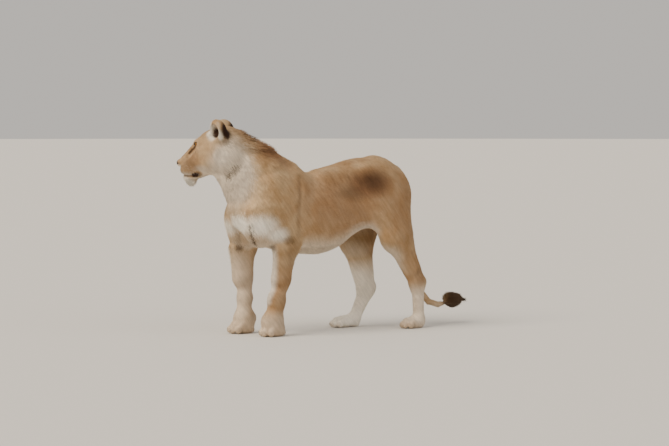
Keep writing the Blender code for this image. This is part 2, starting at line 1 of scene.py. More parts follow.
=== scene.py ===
"""The looks of a lioness: her skin, her coat in locks of solid mesh, her eyes and whiskers.

Metres, Z up, paws on Z = 0. She faces -Y and her own left is +X. The skin is one closed mesh that
starts from the frame's solids and is drawn onto the same smooth field of forms, lower by the
depth of the coat. Locks of hair then stand on it and follow the lie of the coat.
"""

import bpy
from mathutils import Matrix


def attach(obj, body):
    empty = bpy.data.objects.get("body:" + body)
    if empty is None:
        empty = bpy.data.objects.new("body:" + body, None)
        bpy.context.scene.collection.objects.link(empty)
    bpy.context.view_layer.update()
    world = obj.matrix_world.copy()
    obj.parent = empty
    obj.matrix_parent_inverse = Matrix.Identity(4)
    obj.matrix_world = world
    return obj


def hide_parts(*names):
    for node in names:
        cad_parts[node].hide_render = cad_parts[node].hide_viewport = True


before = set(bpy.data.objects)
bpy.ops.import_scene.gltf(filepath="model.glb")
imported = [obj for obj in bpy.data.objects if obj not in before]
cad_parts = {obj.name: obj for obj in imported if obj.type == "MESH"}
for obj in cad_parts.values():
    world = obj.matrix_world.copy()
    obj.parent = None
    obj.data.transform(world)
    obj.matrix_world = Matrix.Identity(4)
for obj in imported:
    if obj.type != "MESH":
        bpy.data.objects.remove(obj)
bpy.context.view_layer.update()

import math
from collections import namedtuple
from contextlib import contextmanager

import bmesh
import bpy
import numpy as np
from mathutils import Matrix, Vector, kdtree

bl_info = {
    "name": "Lioness",
    "version": (1, 0, 0),
    "blender": (4, 5, 0),
    "location": "View3D > Sidebar > Lioness",
    "description": "Skin, coat, eyes and studio for a standing lioness",
    "category": "Object",
}

# the frame's origin, in the axes that the body's forms are given in
MIDDLE = np.array((-0.027, 0.125, 0.0))
FAR = 1.0          # field value where no form is near
REACH = 0.09       # how far past its own size a form is felt
FLOOR_GAP = 0.0006   # the lowest any hair or skin lies

Form = namedtuple("Form", "distance centre reach blend carve")
BODY, TAIL = [], []


def vec(value):
    return np.asarray(value, float)


def unit(value):
    value = vec(value)
    return value / np.maximum(np.linalg.norm(value, axis=-1, keepdims=True), 1e-9)


def mix(start, end, share):
    return vec(start) * (1 - share) + vec(end) * share


def ramp(value, low, high):
    """0 at low, 1 at high, smooth between; low may be the larger."""
    t = np.clip((value - low) / (high - low), 0, 1)
    return t * t * (3 - 2 * t)


def spline(x, xs, ys):
    """A smooth curve through the stations (xs, ys)."""
    slope = np.gradient(ys, xs)
    x = np.clip(x, xs[0], xs[-1])
    i = np.clip(np.searchsorted(xs, x) - 1, 0, len(xs) - 2)
    h = xs[i + 1] - xs[i]
    t = (x - xs[i]) / h
    return ((1 + 2 * t) * (1 - t) ** 2 * ys[i] + t * (1 - t) ** 2 * h * slope[i]
            + t * t * (3 - 2 * t) * ys[i + 1] + t * t * (t - 1) * h * slope[i + 1])


def turn_xyz(x, y, z):
    """Rotation matrix: degrees about X, then Y, then Z."""
    about_x, about_y, about_z = (Matrix.Rotation(math.radians(angle), 3, axis)
                                 for angle, axis in zip((x, y, z), "XYZ"))
    return np.array(about_z @ about_y @ about_x)


class Pose:
    """A set of local axes in the body."""

    def __init__(self, origin=(0, 0, 0), turn=None):
        self.origin = vec(origin)
        self.turn = np.eye(3) if turn is None else turn

    def point(self, local):
        return self.origin + self.turn @ vec(local)

    def way(self, local):
        return self.turn @ vec(local)

    def local(self, points):
        return (points - self.origin) @ self.turn


UPRIGHT = Pose()
HEAD_TURN, HEAD_DROP = 41.0, 14.0
HEAD = Pose((-0.115, -0.630, 1.098), turn_xyz(0, 0, -HEAD_TURN) @ turn_xyz(HEAD_DROP, 0, 0))
MM = 1000   # in a metre: the rows of forms, coat, strokes and marks are in millimetres
EYE_CENTRE, EYE_RADIUS = (0.047, -0.074, 0.030), 0.0172
GAZE = unit((0.62, -0.77, 0.08))       # the left eye's, in the head's axes
SLIT = unit(np.cross(np.cross(GAZE, (0.77, 0.62, 0.42)), GAZE))   # inner to outer corner
MOUTH = ((0, -214, -113), (30, -199, -117), (52, -160, -135),
         (59, -115, -148))
TEAR = ((37, -98, 20), (31, -118, 8), (27, -140, -8))
LINES = {}   # lines laid on the surface of the head, by name and side
EYE_OPENING = (0.0168, 0.0068, 0.0056)   # half its width, height above and below the slit
CORNER_DIP, CORNER_END = -0.6, 1.25      # how the almond's outline goes on past its corners
LID_INSET, LID_REACH, LID_BLEND = 0.0016, 0.01, 0.0012   # how the lids' opening meets the ball


def head_point(local):
    """A point given in the head's axes, in the body's, both in millimetres."""
    return HEAD.point(vec(local) / MM) * MM


def eye_pose(s):
    """Axes of an eye: along the slit to its outer corner, up to the brow, out along the gaze."""
    flip = vec((s, 1, 1))
    axes = np.stack([SLIT * flip, np.cross(GAZE, SLIT) * flip, GAZE * flip], 1)
    return Pose(HEAD.point(vec(EYE_CENTRE) * flip), HEAD.turn @ axes)


def off_opening(p, s):
    """How far points lie outside the almond between an eye's lids, measured across the gaze."""
    half, above, below = EYE_OPENING
    x, y, z = eye_pose(s).local(p).T
    almond = np.where(y > 0, above, below) * np.maximum(1 - (x / half) ** 2, CORNER_DIP)
    past_corner = np.abs(x) > half * CORNER_END
    off = np.where(past_corner, np.hypot(y, np.abs(x) - half), np.abs(y) - almond)
    return np.where(z > 0, off, FAR)


def lump(centre, radii, turn=(0, 0, 0), pose=UPRIGHT, blend=30, carve=False, into=BODY):
    """An egg-shaped mass, or with carve a hollow of that shape."""
    c, r = pose.point(vec(centre) / MM), vec(radii) / MM
    m = pose.turn @ turn_xyz(*turn)

    def distance(p):
        q = (p - c) @ m / r
        size = np.linalg.norm(q, axis=1)
        return size * (size - 1) / np.maximum(np.linalg.norm(q / r, axis=1), 1e-9)

    into.append(Form(distance, c, r.max(), blend / MM, carve))


def limb(start, end, r0, r1, narrow=1.0, side=(1, 0, 0), pose=UPRIGHT, blend=30, carve=False,
         into=BODY):
    """A tapering round-ended mass from start to end, narrowed along side."""
    a, b = pose.point(vec(start) / MM), pose.point(vec(end) / MM)
    r0, r1, axis = r0 / MM, r1 / MM, b - a
    length = np.linalg.norm(axis)
    along = axis / length
    s = pose.way(side)
    s = unit(s - (s @ along) * along)

    def distance(p):
        off = p - a
        t = np.clip(off @ along / length, 0, 1)
        off = off - t[:, None] * axis
        off = off + (off @ s * (1 / narrow - 1))[:, None] * s
        return (np.linalg.norm(off, axis=1) - (r0 + (r1 - r0) * t)) * min(1, narrow)

    into.append(Form(distance, (a + b) / 2, length / 2 + max(r0, r1), blend / MM, carve))


# ---------------------------------------------------------------- trunk
#    along body, back's height, belly's height, half width, all in millimetres
STATIONS = (
    (-500, 890, 610, 98),
    (-430, 945, 550, 126),
    (-340, 985, 500, 148),
    (-220, 984, 472, 162),
    (-110, 950, 458, 172),
    (0, 960, 455, 172),
    (100, 984, 482, 164),
    (200, 1016, 540, 148),
    (300, 1030, 598, 136),
    (390, 1027, 640, 130),
    (470, 1008, 665, 118),
    (530, 970, 690, 95),
)
CHEST_CAP, RUMP_CAP = 0.070, 0.055   # how far the trunk's round ends reach
NARROWER_TOP = 0.18                  # a section narrows to the spine by this share
SQUARENESS = 2.15                    # 2 would be an ellipse
TRUNK_MIDDLE, TRUNK_REACH, TRUNK_BLEND = (0, 0.03, 0.74), 0.72, 0.03


def trunk():
    ys, tops, bottoms, wides = vec(STATIONS).T / MM

    def distance(p):
        top, bottom = spline(p[:, 1], ys, tops), spline(p[:, 1], ys, bottoms)
        wide, high = spline(p[:, 1], ys, wides), (top - bottom) / 2
        past = np.maximum((ys[0] - p[:, 1]) / CHEST_CAP, (p[:, 1] - ys[-1]) / RUMP_CAP)
        past = np.maximum(past, 0)
        up = (p[:, 2] - (top + bottom) / 2) / high
        wide = wide * (1 - NARROWER_TOP * np.clip(up, -1, 1))
        q = (np.abs(p[:, 0]) / wide) ** SQUARENESS + np.abs(up) ** SQUARENESS + past ** SQUARENESS
        return (q ** (1 / SQUARENESS) - 1) * np.minimum(wide, high)

    BODY.append(Form(distance, vec(TRUNK_MIDDLE), TRUNK_REACH, TRUNK_BLEND, False))
    for s in (1, -1):
        # loin muscle, hip point, seat bone, and the fold of skin from the belly to the knee
        limb((s * 50, 20, 895), (s * 52, 280, 940), 44, 48, 1.1, blend=50)
        lump((s * 86, 315, 935), (28, 55, 35), blend=60)
        lump((s * 60, 535, 820), (45, 50, 80), blend=60)
        limb((s * 104, 200, 665), (s * 118, 370, 655), 42, 46, 0.7, blend=60)
        lump((s * 95, 290, 735), (45, 90, 90), blend=60)
    limb((0, 400, 965), (0, 550, 905), 50, 42, blend=60)


# ---------------------------------------------------------------- legs
# Joints of each leg in millimetres, from the top. The side is +1 for her left.
FORE = {
    1: dict(blade=(60, -215, 890), shoulder=(112, -450, 690),
            elbow=(124, -275, 515), wrist=(112, -340, 205),
            ball=(106, -360, 48), toe=(0.0, -1.0), stout=1.0, bow=4,
            pastern=(-14, 62)),
    -1: dict(blade=(-60, -230, 890), shoulder=(-118, -475, 670),
             elbow=(-130, -408, 505), wrist=(-140, -406, 205),
             ball=(-142, -428, 48), toe=(-0.08, -1.0), stout=0.84, bow=-16,
             pastern=(26, 70)),
}
HIND = {
    1: dict(hip=(85, 430, 830), knee=(146, 435, 550), hock=(124, 628, 262),
            ball=(130, 588, 46), toe=(0.05, -1.0), foot=50, stout=1.0),
    -1: dict(hip=(-85, 420, 830), knee=(-146, 335, 530), hock=(-124, 424, 224),
             ball=(-135, 262, 46), toe=(-0.05, -1.0), foot=85, stout=1.22),
}
FORE_PAW, HIND_PAW, HIND_PAW_HEIGHT = 1.06, 0.96, 0.82   # as shares of the paw's own sizes


def foreleg(s):
    joints = FORE[s]
    blade, shoulder, elbow, wrist, ball = (
        vec(joints[k]) for k in ("blade", "shoulder", "elbow", "wrist", "ball"))
    g, bow = joints["stout"], vec((0, joints["bow"], 0))
    # shoulder blade and the muscle over it, upper arm, triceps, point of the elbow
    limb(blade + (s * 12, 20, -20), shoulder + (s * -8, 50, 30), 50, 80, 0.60, blend=70)
    lump(mix(blade, shoulder, 0.62) + (s * 22, 0, 0), (58, 115, 150), (20, 0, 0), blend=70)
    lump((s * 98, -455, 665), (56, 60, 100), blend=70)
    limb(shoulder + (0, 35, -10), elbow + (0, -20, 20), 82, 68, 0.74, blend=70)
    limb(mix(blade, shoulder, 0.40) + (s * 35, 75, -50), elbow + (0, 22, 35), 80,
         45, 0.60, blend=40)
    lump(elbow + (0, 40, 0), (30, 34, 42), blend=35)
    # forearm: its core above and below, the muscle in front and the tendons behind
    middle = mix(elbow, wrist, 0.60) + bow
    limb(elbow + (0, -18, -10) + bow * 0.6, middle, 70, 54, 0.76, blend=30)
    limb(middle, mix(elbow, wrist, 0.95), 54, 43 * g, 0.82, blend=30)
    limb(elbow + (s * 10, -44, -20) + bow * 0.6, middle + (s * 4, -18, 0), 42, 32, 0.9, blend=40)
    limb(elbow + (s * -6, 12, -30), mix(elbow, wrist, 0.75) + (0, 14, 0), 42, 28 * g, 0.9, blend=30)
    lump(wrist + (0, -4, 0), (39 * g, 38 * g, 55), blend=50)
    limb(wrist, ball + (0, 4, 14), 43 * g, 53 * g, blend=40)
    shift, long = joints["pastern"]
    lump(ball + (0, shift, 38), (50, long, 55), blend=50)
    lump(wrist + (s * 6, 34 * g, -30), (13, 13, 18), blend=12)
    paw(ball, joints["toe"], FORE_PAW, 50, 1.0)


def hindleg(s):
    joints = HIND[s]
    hip, knee, hock, ball = (vec(joints[k]) for k in ("hip", "knee", "hock", "ball"))
    g = joints["stout"]
    turned = dict(side=(0.978, s * 0.208, 0))   # the knee points a little outwards
    # haunch, hamstrings, front of the thigh, knee
    limb(hip + (s * 12, -15, 20), mix(hip, knee, 0.78) + (0, 30, 0), 122, 96, 0.56,
         blend=70, **turned)
    limb(hip + (s * 18, 70, -30), mix(knee, hock, 0.22) + (0, 35, 30), 80, 60,
         0.64, blend=70, **turned)
    limb(hip + (s * 12, -70, -50), knee + (0, -8, 10), 70, 52, 0.74, blend=70, **turned)
    lump(knee + (0, -12, -5), (42, 50, 66), blend=50)
    # shank, calf, tendon to the heel, hock
    limb(knee + (0, 28, -20), mix(knee, hock, 0.88) + (0, -4, 0), 72 * g, 48 * g,
         0.66, blend=40, **turned)
    limb(knee + (0, 75, 0), mix(knee, hock, 0.66) + (0, 26, 12), 52, 30, 0.75, blend=50, **turned)
    heel = hock + (0, 40, 22)
    limb(mix(knee, hock, 0.50) + (0, 48, 20), heel, 26, 18, blend=35)
    lump(hock, (36, 50, 58), blend=30)
    lump(heel + (0, -4, -8), (22, 22, 30), blend=20)
    # long foot bones and instep
    ankle = ball + (0, joints["foot"], 2)
    limb(hock + (0, 6, 0), ankle, 42 * g, 36, 0.90, blend=30)
    limb(ankle, ball + (0, 0, -6), 34, 28, 1.15, blend=30)
    paw(ball, joints["toe"], HIND_PAW, joints["foot"], HIND_PAW_HEIGHT)


#        across and along the paw in millimetres, fan in degrees
TOES = ((-40, -22, 14), (-14.5, -46, 4), (14.5, -46, -4), (40, -22, -14))


def paw(ball, toe, k, back, rise):
    """Palm, heel pad and four knuckled toes with their pads; k is its size."""
    ahead = unit((*toe, 0))
    right = np.cross(ahead, (0, 0, 1))
    at = Pose(ball * (1, 1, 0) / MM, np.stack([-right, -ahead, vec((0, 0, 1))], 1))
    lump((0, 8, 36 * k * rise), (52 * k, 60 * k, 40 * k * rise), pose=at)
    lump((0, back, 18), (30 * k, 30 * k, 20), pose=at, blend=20)
    for x, y, fan in TOES:
        spread = math.radians(fan)
        ahead = vec((-math.sin(spread), -math.cos(spread), 0))
        root = vec((x * 0.75, y + 30, 46 * rise)) * k
        tip = vec((x, y, 27)) * k
        knuckle = (root + tip) / 2 + vec((0, -6, 14 * rise)) * k
        limb(root, knuckle, 21 * k, 19 * k, 0.95, pose=at, blend=12)
        limb(knuckle, tip + ahead * 20 * k, 19 * k, 17 * k, 0.95, pose=at, blend=10)
        lump(tip + ahead * 16 * k + vec((0, 0, -12 * k)), (14.5 * k, 18 * k, 15 * k),
             pose=at, blend=8)


# ---------------------------------------------------------------- neck and head
def neck():
    top = head_point((0, 60, -50))
    limb((0, -300, 800), (-10, -425, 900), 190, 172, 0.74, blend=70)
    limb((-10, -425, 900), top, 172, 132, 0.80, side=(1, -0.3, 0), blend=60)
    limb((0, -450, 760), head_point((0, 45, -110)), 100, 72, 0.85, blend=50)
    lump((0, -472, 690), (100, 78, 110), blend=70)
    for s in (1, -1):
        lump((s * 82, -436, 600), (54, 76, 85), blend=50)
    lump((-10, -560, 535), (30, 100, 90), blend=30, carve=True)
    limb((0, -200, 948), head_point((0, 95, 30)), 45, 50, 0.9, blend=60)


def head():
    on = dict(pose=HEAD)
    # skull, forehead, bridge of the nose, muzzle, jaw, chin
    lump((0, 30, 4), (84, 118, 84), **on)
    lump((0, -22, 31), (62, 72, 52), (28, 0, 0), **on)
    limb((0, -92, 20), (0, -204, -50), 28, 23, 1.35, **on, blend=35)
    limb((0, -80, -50), (0, -160, -85), 62, 46, 1.10, **on)
    limb((0, -150, -138), (0, -10, -100), 30, 58, 1.30, **on)
    lump((0, -180, -148), (36, 34, 36), **on, blend=30)
    lump((0, -176, -166), (26, 23, 30), **on, blend=25)
    for s in (1, -1):
        # cheekbone, cheek, whisker pad, lip and its corner, brow, temple, ruff
        limb((s * 62, -64, -16), (s * 84, 20, -10), 24, 28, **on, blend=35)
        limb((s * 36, -130, -78), (s * 62, -40, -78), 36, 46, **on, blend=40)
        lump((s * 64, -4, -70), (40, 70, 75), **on, blend=40)
        lump((s * 31, -173, -94), (34, 43, 34), (0, 0, s * 12), **on, blend=14)
        lump((s * 43, -142, -112), (19, 48, 28), (-14, 0, s * 14), **on)
        limb((s * 20, -186, -140), (s * 50, -118, -146), 16, 14, **on, blend=25)
        limb((s * 30, -72, 40), (s * 60, -48, 46), 16, 19, **on)
        lump((s * 58, 4, 28), (34, 60, 45), **on)
        lump((s * 66, 70, -80), (52, 75, 90), **on, blend=50)
    lump((0, -214, -47), (30, 18, 17), (30, 0, 0), **on, blend=10)
    for s in (1, -1):
        # hollow before the eye and the line down from its inner corner
        lump((s * 56, -106, 22), (17, 15, 14), **on, blend=25, carve=True)
        limb((s * 40, -112, 14), (s * 36, -142, -22), 8, 6, **on, blend=20, carve=True)
        ear(s)
        fine_features(s)


NUDGE = 0.0005   # the step that finds a slope


def on_surface(points):
    """The points drawn onto the surface of the forms made so far."""
    p = vec(points)
    for _ in range(5):
        d = blended(p, BODY)
        slope = np.stack([(blended(p + NUDGE * axis, BODY) - d) / NUDGE for axis in np.eye(3)], 1)
        p = p - d[:, None] * slope
    return p


def drawn_line(pose, line, s=1, count=8):
    """A line of points given on the left side, mirrored for s = -1 and laid on the surface."""
    at = np.linspace(0, len(line) - 1, count * (len(line) - 1) + 1)
    line = np.stack([np.interp(at, np.arange(len(line)), column) for column in zip(*line)], 1)
    return on_surface(pose.origin + line * (s, 1, 1) / MM @ pose.turn.T) * MM


def groove(line, radius, blend):
    for a, b in zip(line, line[1:]):
        limb(a, b, radius, radius, blend=blend, carve=True)


def fine_features(s):
    """What the skin adds to the solids on one side of the face."""
    on = dict(pose=HEAD)
    # lids: a shell over the eyeball and a heavier upper rim, opened by an almond along the slit
    eye = dict(pose=eye_pose(s))
    lump((0, 0, 0), (EYE_RADIUS * MM + 3.2,) * 3, **eye, blend=12)
    limb((-12, 11.8, 12), (16, 10.8, 8), 5.8, 5.8, **eye, blend=8)
    ball = eye_pose(s).origin

    def opening(p):
        inside = EYE_RADIUS - LID_INSET - np.linalg.norm(p - ball, axis=1)
        return np.maximum(off_opening(p, s), inside)

    BODY.append(Form(opening, ball, EYE_RADIUS + LID_REACH, LID_BLEND, True))
    limb((-16.5, -1, 10.5), (-29, -7, 4), 2.4, 1.6, **eye, blend=3, carve=True)
    # wing of the nostril, its opening and slit, the groove below the nose, the line of the mouth
    lump((s * 19, -215, -50), (12.5, 12, 12.5), **on, blend=6)
    limb((s * 10.5, -233, -51), (s * 18.5, -227, -48), 5, 3.6, **on, blend=2, carve=True)
    limb((s * 18.5, -227, -48), (s * 30, -208, -53), 2.8, 1.8, **on, blend=2, carve=True)
    limb((s * 0.4, -226, -64), (s * 0.4, -212, -106), 2.4, 2.4, **on, blend=4, carve=True)
    # cleft between the breast and the foreleg
    limb((s * 128, -530, 625), (s * 100, -500, 540), 12, 18, blend=20, carve=True)
    LINES["mouth", s] = drawn_line(HEAD, MOUTH, s)
    LINES["tear", s] = drawn_line(HEAD, TEAR, s)
    groove(LINES["mouth", s], 3.4, 6)
    # folds of skin behind the shoulder and down its front edge
    limb((s * 140, -186, 900), (s * 186, -224, 700), 8, 12, blend=30, carve=True)
    limb((s * 186, -224, 700), (s * 176, -214, 560), 12, 8, blend=30, carve=True)


def ear(s):
    """A round cupped ear, open forwards and outwards."""
    turn = HEAD.turn @ turn_xyz(0, s * 22, 0) @ turn_xyz(-4, 0, s * 42)
    on = dict(pose=Pose(HEAD.point((s * 0.078, 0.064, 0.036)), turn))
    lump((0, 6, 43), (61, 43, 64), **on, blend=20)
    lump((0, 6, 0), (52, 44, 42), **on)
    lump((0, -58, 48), (43.6, 74, 45.6), **on, blend=10, carve=True)


#             x, y, z, radius in millimetres
TAIL_LINE = ((0, 550, 915, 42), (8, 590, 880, 34), (28, 604, 800, 31),
             (44, 606, 680, 28), (52, 618, 560, 26), (55, 644, 430, 25),
             (56, 670, 300, 23), (53, 700, 212, 22), (47, 762, 147, 21),
             (40, 835, 124, 20), (36, 895, 130, 20))
TUFT_START = 0.872   # along the body
TAIL_FADE, TUFT_FADE = 0.02, 0.03   # over which the body's coat gives way to theirs


def tail():
    for (*a, ra), (*b, rb) in zip(TAIL_LINE, TAIL_LINE[1:]):
        limb(a, b, ra, rb, blend=4, into=TAIL)
    lump((32, 940, 146), (46, 66, 52), (-6, 0, 0), blend=20, into=TAIL)
    limb((30, 975, 150), (26, 1035, 140), 40, 15, blend=20, into=TAIL)


def blended(p, forms):
    """Signed distance of the blended forms, negative inside."""
    d = np.full(len(p), FAR)
    for f in forms:
        near = np.flatnonzero(((p - f.centre) ** 2).sum(1) < (f.reach + REACH) ** 2)
        if not len(near):
            continue
        a = -d[near] if f.carve else d[near]
        b = f.distance(p[near])
        h = np.maximum(f.blend - np.abs(a - b), 0) / f.blend
        a = np.minimum(a, b) - h * h * f.blend / 4
        d[near] = -a if f.carve else a
    return d


def make_forms():
    BODY.clear()
    TAIL.clear()
    trunk()
    neck()
    head()
    for s in (1, -1):
        foreleg(s)
        hindleg(s)
    tail()
    make_marks()


# ---------------------------------------------------------------- coat, region by region
def hair(depth, length, width, lift, gap):
    """A coat's depth, and its locks' length, width and spacing, from millimetres to metres.

    Lift is the rise of a lock over its length.
    """
    return vec((depth / MM, length / MM, width / MM, lift, gap / MM))


ON_BODY = hair(6, 20, 3, 0.2, 3.7)


def both(pose, centre, radii, *rest):
    """The same row on either side."""
    return [(pose, (s * centre[0], *centre[1:]), radii, *rest) for s in (1, -1)]


REGIONS = [
    #  axes, centre and radii in millimetres, coat
    (UPRIGHT, (0, 100, 200), (500, 1400, 260), hair(4, 14, 2.6, 0.18, 3.1)),
    (UPRIGHT, (0, 100, 0), (500, 1400, 110), hair(3, 9, 2.2, 0.18, 2.6)),
    (UPRIGHT, (0, 20, 470), (120, 360, 80), hair(10, 34, 3.6, 0.26, 4)),
    *both(UPRIGHT, (100, 610, 620), (80, 60, 160), hair(9, 28, 3.4, 0.26, 3.8)),
    *both(UPRIGHT, (140, -260, 520), (60, 60, 90), hair(9, 30, 3.4, 0.3, 3.8)),
    (UPRIGHT, (-10, -540, 940), (260, 220, 270), hair(11, 50, 5.8, 0.09, 4.9)),
    (UPRIGHT, (0, -480, 650), (210, 160, 130), hair(8, 36, 5, 0.1, 4.6)),
    (UPRIGHT, (10, -300, 1050), (70, 180, 80), hair(9, 36, 4.6, 0.26, 4.4)),
    (UPRIGHT, (-30, -450, 1120), (80, 170, 100), hair(10, 58, 4.8, 0.46, 4.6)),
    (HEAD, (0, -75, 0), (160, 200, 200), hair(3, 11, 1.9, 0.14, 2.1)),
    *both(HEAD, (85, 90, -120), (70, 80, 100), hair(14, 42, 4, 0.3, 4.6)),
    (HEAD, (0, -190, -80), (80, 80, 70), hair(1.4, 6, 1.6, 0.18, 1.9)),
    (HEAD, (0, -168, -175), (45, 45, 34), hair(7, 22, 2.8, 0.35, 3)),
    *both(HEAD, (105, 80, 90), (80, 80, 85), hair(2.6, 10, 2.2, 0.25, 2.4)),
    *both(HEAD, (72, 34, 82), (22, 20, 44), hair(4, 16, 2.8, 0.3, 3)),
    (HEAD, (0, -224, -50), (36, 28, 26), hair(0, 3, 1.6, 0.15, 3)),
]
REGIONS += [(eye_pose(s), (0, 0, 12), (42, 36, 34), hair(0.3, 5, 1.5, 0.15, 1.8))
            for s in (1, -1)]
ON_TAIL = hair(4, 18, 2.8, 0.18, 3.4)
ON_TUFT = hair(15, 40, 3.6, 0.2, 3)


def inside(p, pose, centre, radii, soft=0.25):
    """1 in the middle of an egg-shaped region, 0 outside it."""
    away = np.linalg.norm((pose.local(p) - vec(centre) / MM) / (vec(radii) / MM), axis=1)
    return ramp(away, 1 + soft, 1 - soft)


def hair_at(p):
    """The coat at the points p, as columns: its locks' depth, length, width, lift and spacing."""
    values = np.tile(ON_BODY, (len(p), 1))
    for pose, centre, radii, coat in REGIONS:
        share = inside(p, pose, centre, radii)[:, None]
        values = values * (1 - share) + coat * share
    tail_share = ramp(blended(p, BODY) - blended(p, TAIL), 0, TAIL_FADE)[:, None]
    values = values * (1 - tail_share) + ON_TAIL * tail_share
    tuft_share = ramp(p[:, 1], TUFT_START - TUFT_FADE, TUFT_START + TAIL_FADE)[:, None]
    return values * (1 - tuft_share) + ON_TUFT * tuft_share


def strokes():
    """The lie of the coat: lines (start, end, reach) that the hair beside them follows."""
    lines = []

    def comb(start, end, reach, pose=UPRIGHT):
        lines.append((pose.point(vec(start) / MM), pose.point(vec(end) / MM), reach / MM))

    comb((0, -220, 1000), (0, 500, 1030), 100)
    comb((0, -250, 470), (0, 300, 600), 100)
    for s in (1, -1):
        comb((s * 150, -220, 920), (s * 140, 280, 740), 140)
        comb((s * 150, -220, 680), (s * 130, 260, 580), 110)
        comb((s * 120, 300, 960), (s * 150, 500, 740), 130)
        comb((s * 130, -400, 920), (s * 170, -330, 580), 120)
        comb((s * 50, -580, 820), (s * 60, -520, 580), 100)
        comb(head_point((s * 100, 80, -30)), (s * 140, -470, 720), 120)
        comb(head_point((s * 30, 100, 80)), (s * 30, -200, 1000), 90)
        comb(head_point((s * 30, 0, -170)), (s * 30, -600, 680), 90)
        fore, hind = FORE[s], HIND[s]
        comb(fore["shoulder"], fore["elbow"], 70)
        comb(fore["elbow"], fore["wrist"], 80)
        comb(fore["wrist"], vec(fore["ball"]) + (0, -30, 0), 60)
        comb(vec(fore["ball"]) + (0, 30, 0), vec(fore["ball"]) + (0, -90, -30), 50)
        comb(hind["hip"], vec(hind["knee"]) + (0, 40, 0), 120)
        comb(hind["knee"], hind["hock"], 80)
        comb(hind["hock"], hind["ball"], 60)
        comb(vec(hind["ball"]) + (0, 30, 0), vec(hind["ball"]) + (0, -90, -30), 50)
        on = dict(pose=HEAD)
        comb((s * 12, -215, -20), (s * 30, -10, 110), 35, **on)
        comb((s * 30, -225, -90), (s * 100, 20, -70), 45, **on)
        comb((s * 20, -215, -150), (s * 60, 0, -150), 40, **on)
        comb((s * 50, -80, 45), (s * 90, 50, 30), 30, **on)
        comb((s * 90, 0, -60), (s * 105, 110, -160), 50, **on)
        comb((s * 85, 85, 30), (s * 118, 105, 140), 35, **on)
    for (*a, _), (*b, _) in zip(TAIL_LINE, (*TAIL_LINE[1:], (28, 1000, 146, 0))):
        comb(a, b, 30)
    comb((36, 900, 142), (26, 1050, 138), 50)
    return lines


def lie(p):
    """Which way the hair lies at the points p."""
    total = np.tile(vec((0, 1e-4, -1e-4)), (len(p), 1))
    for start, end, reach in strokes():
        run = end - start
        t = np.clip((p - start) @ run / (run @ run), 0, 1)
        away = ((p - start - t[:, None] * run) ** 2).sum(1)
        total += np.exp(-away / reach ** 2)[:, None] * unit(run)
    return unit(total)


# ---------------------------------------------------------------- markings
PALE, DARK, RUFOUS, BARE = range(4)
MARKS = []         # (channel, strength, what gives 1 in its middle and 0 outside)
UNDERSIDE = 0.45   # how pale all that faces down is, above the knees
DOWNWARDS, ABOVE_KNEES = (-0.15, -0.80), (0.30, 0.40)
SPOT_EDGE, STREAK_EDGE = 0.35, 0.5


def mark(channel, strength, place, size, soft=None, pose=UPRIGHT, s=1):
    """A spot with three radii round a point, or a streak of one width along a line of points.

    It is given for her left and mirrored with s = -1. Its edge is soft over this share of its size.
    """
    place = vec(place) * (s, 1, 1)
    if np.ndim(size):
        soft = soft or SPOT_EDGE
        MARKS.append((channel, strength, lambda p: inside(p, pose, place, size, soft)))
        return
    line, soft = [pose.point(q / MM) for q in place], soft or STREAK_EDGE

    def share(p):
        near = np.full(len(p), FAR)
        for a, b in zip(line, line[1:]):
            t = np.clip((p - a) @ (b - a) / ((b - a) @ (b - a)), 0, 1)
            near = np.minimum(near, np.linalg.norm(p - a - t[:, None] * (b - a), axis=1))
        return ramp(near / (size / MM), 1 + soft, 1 - soft)

    MARKS.append((channel, strength, share))


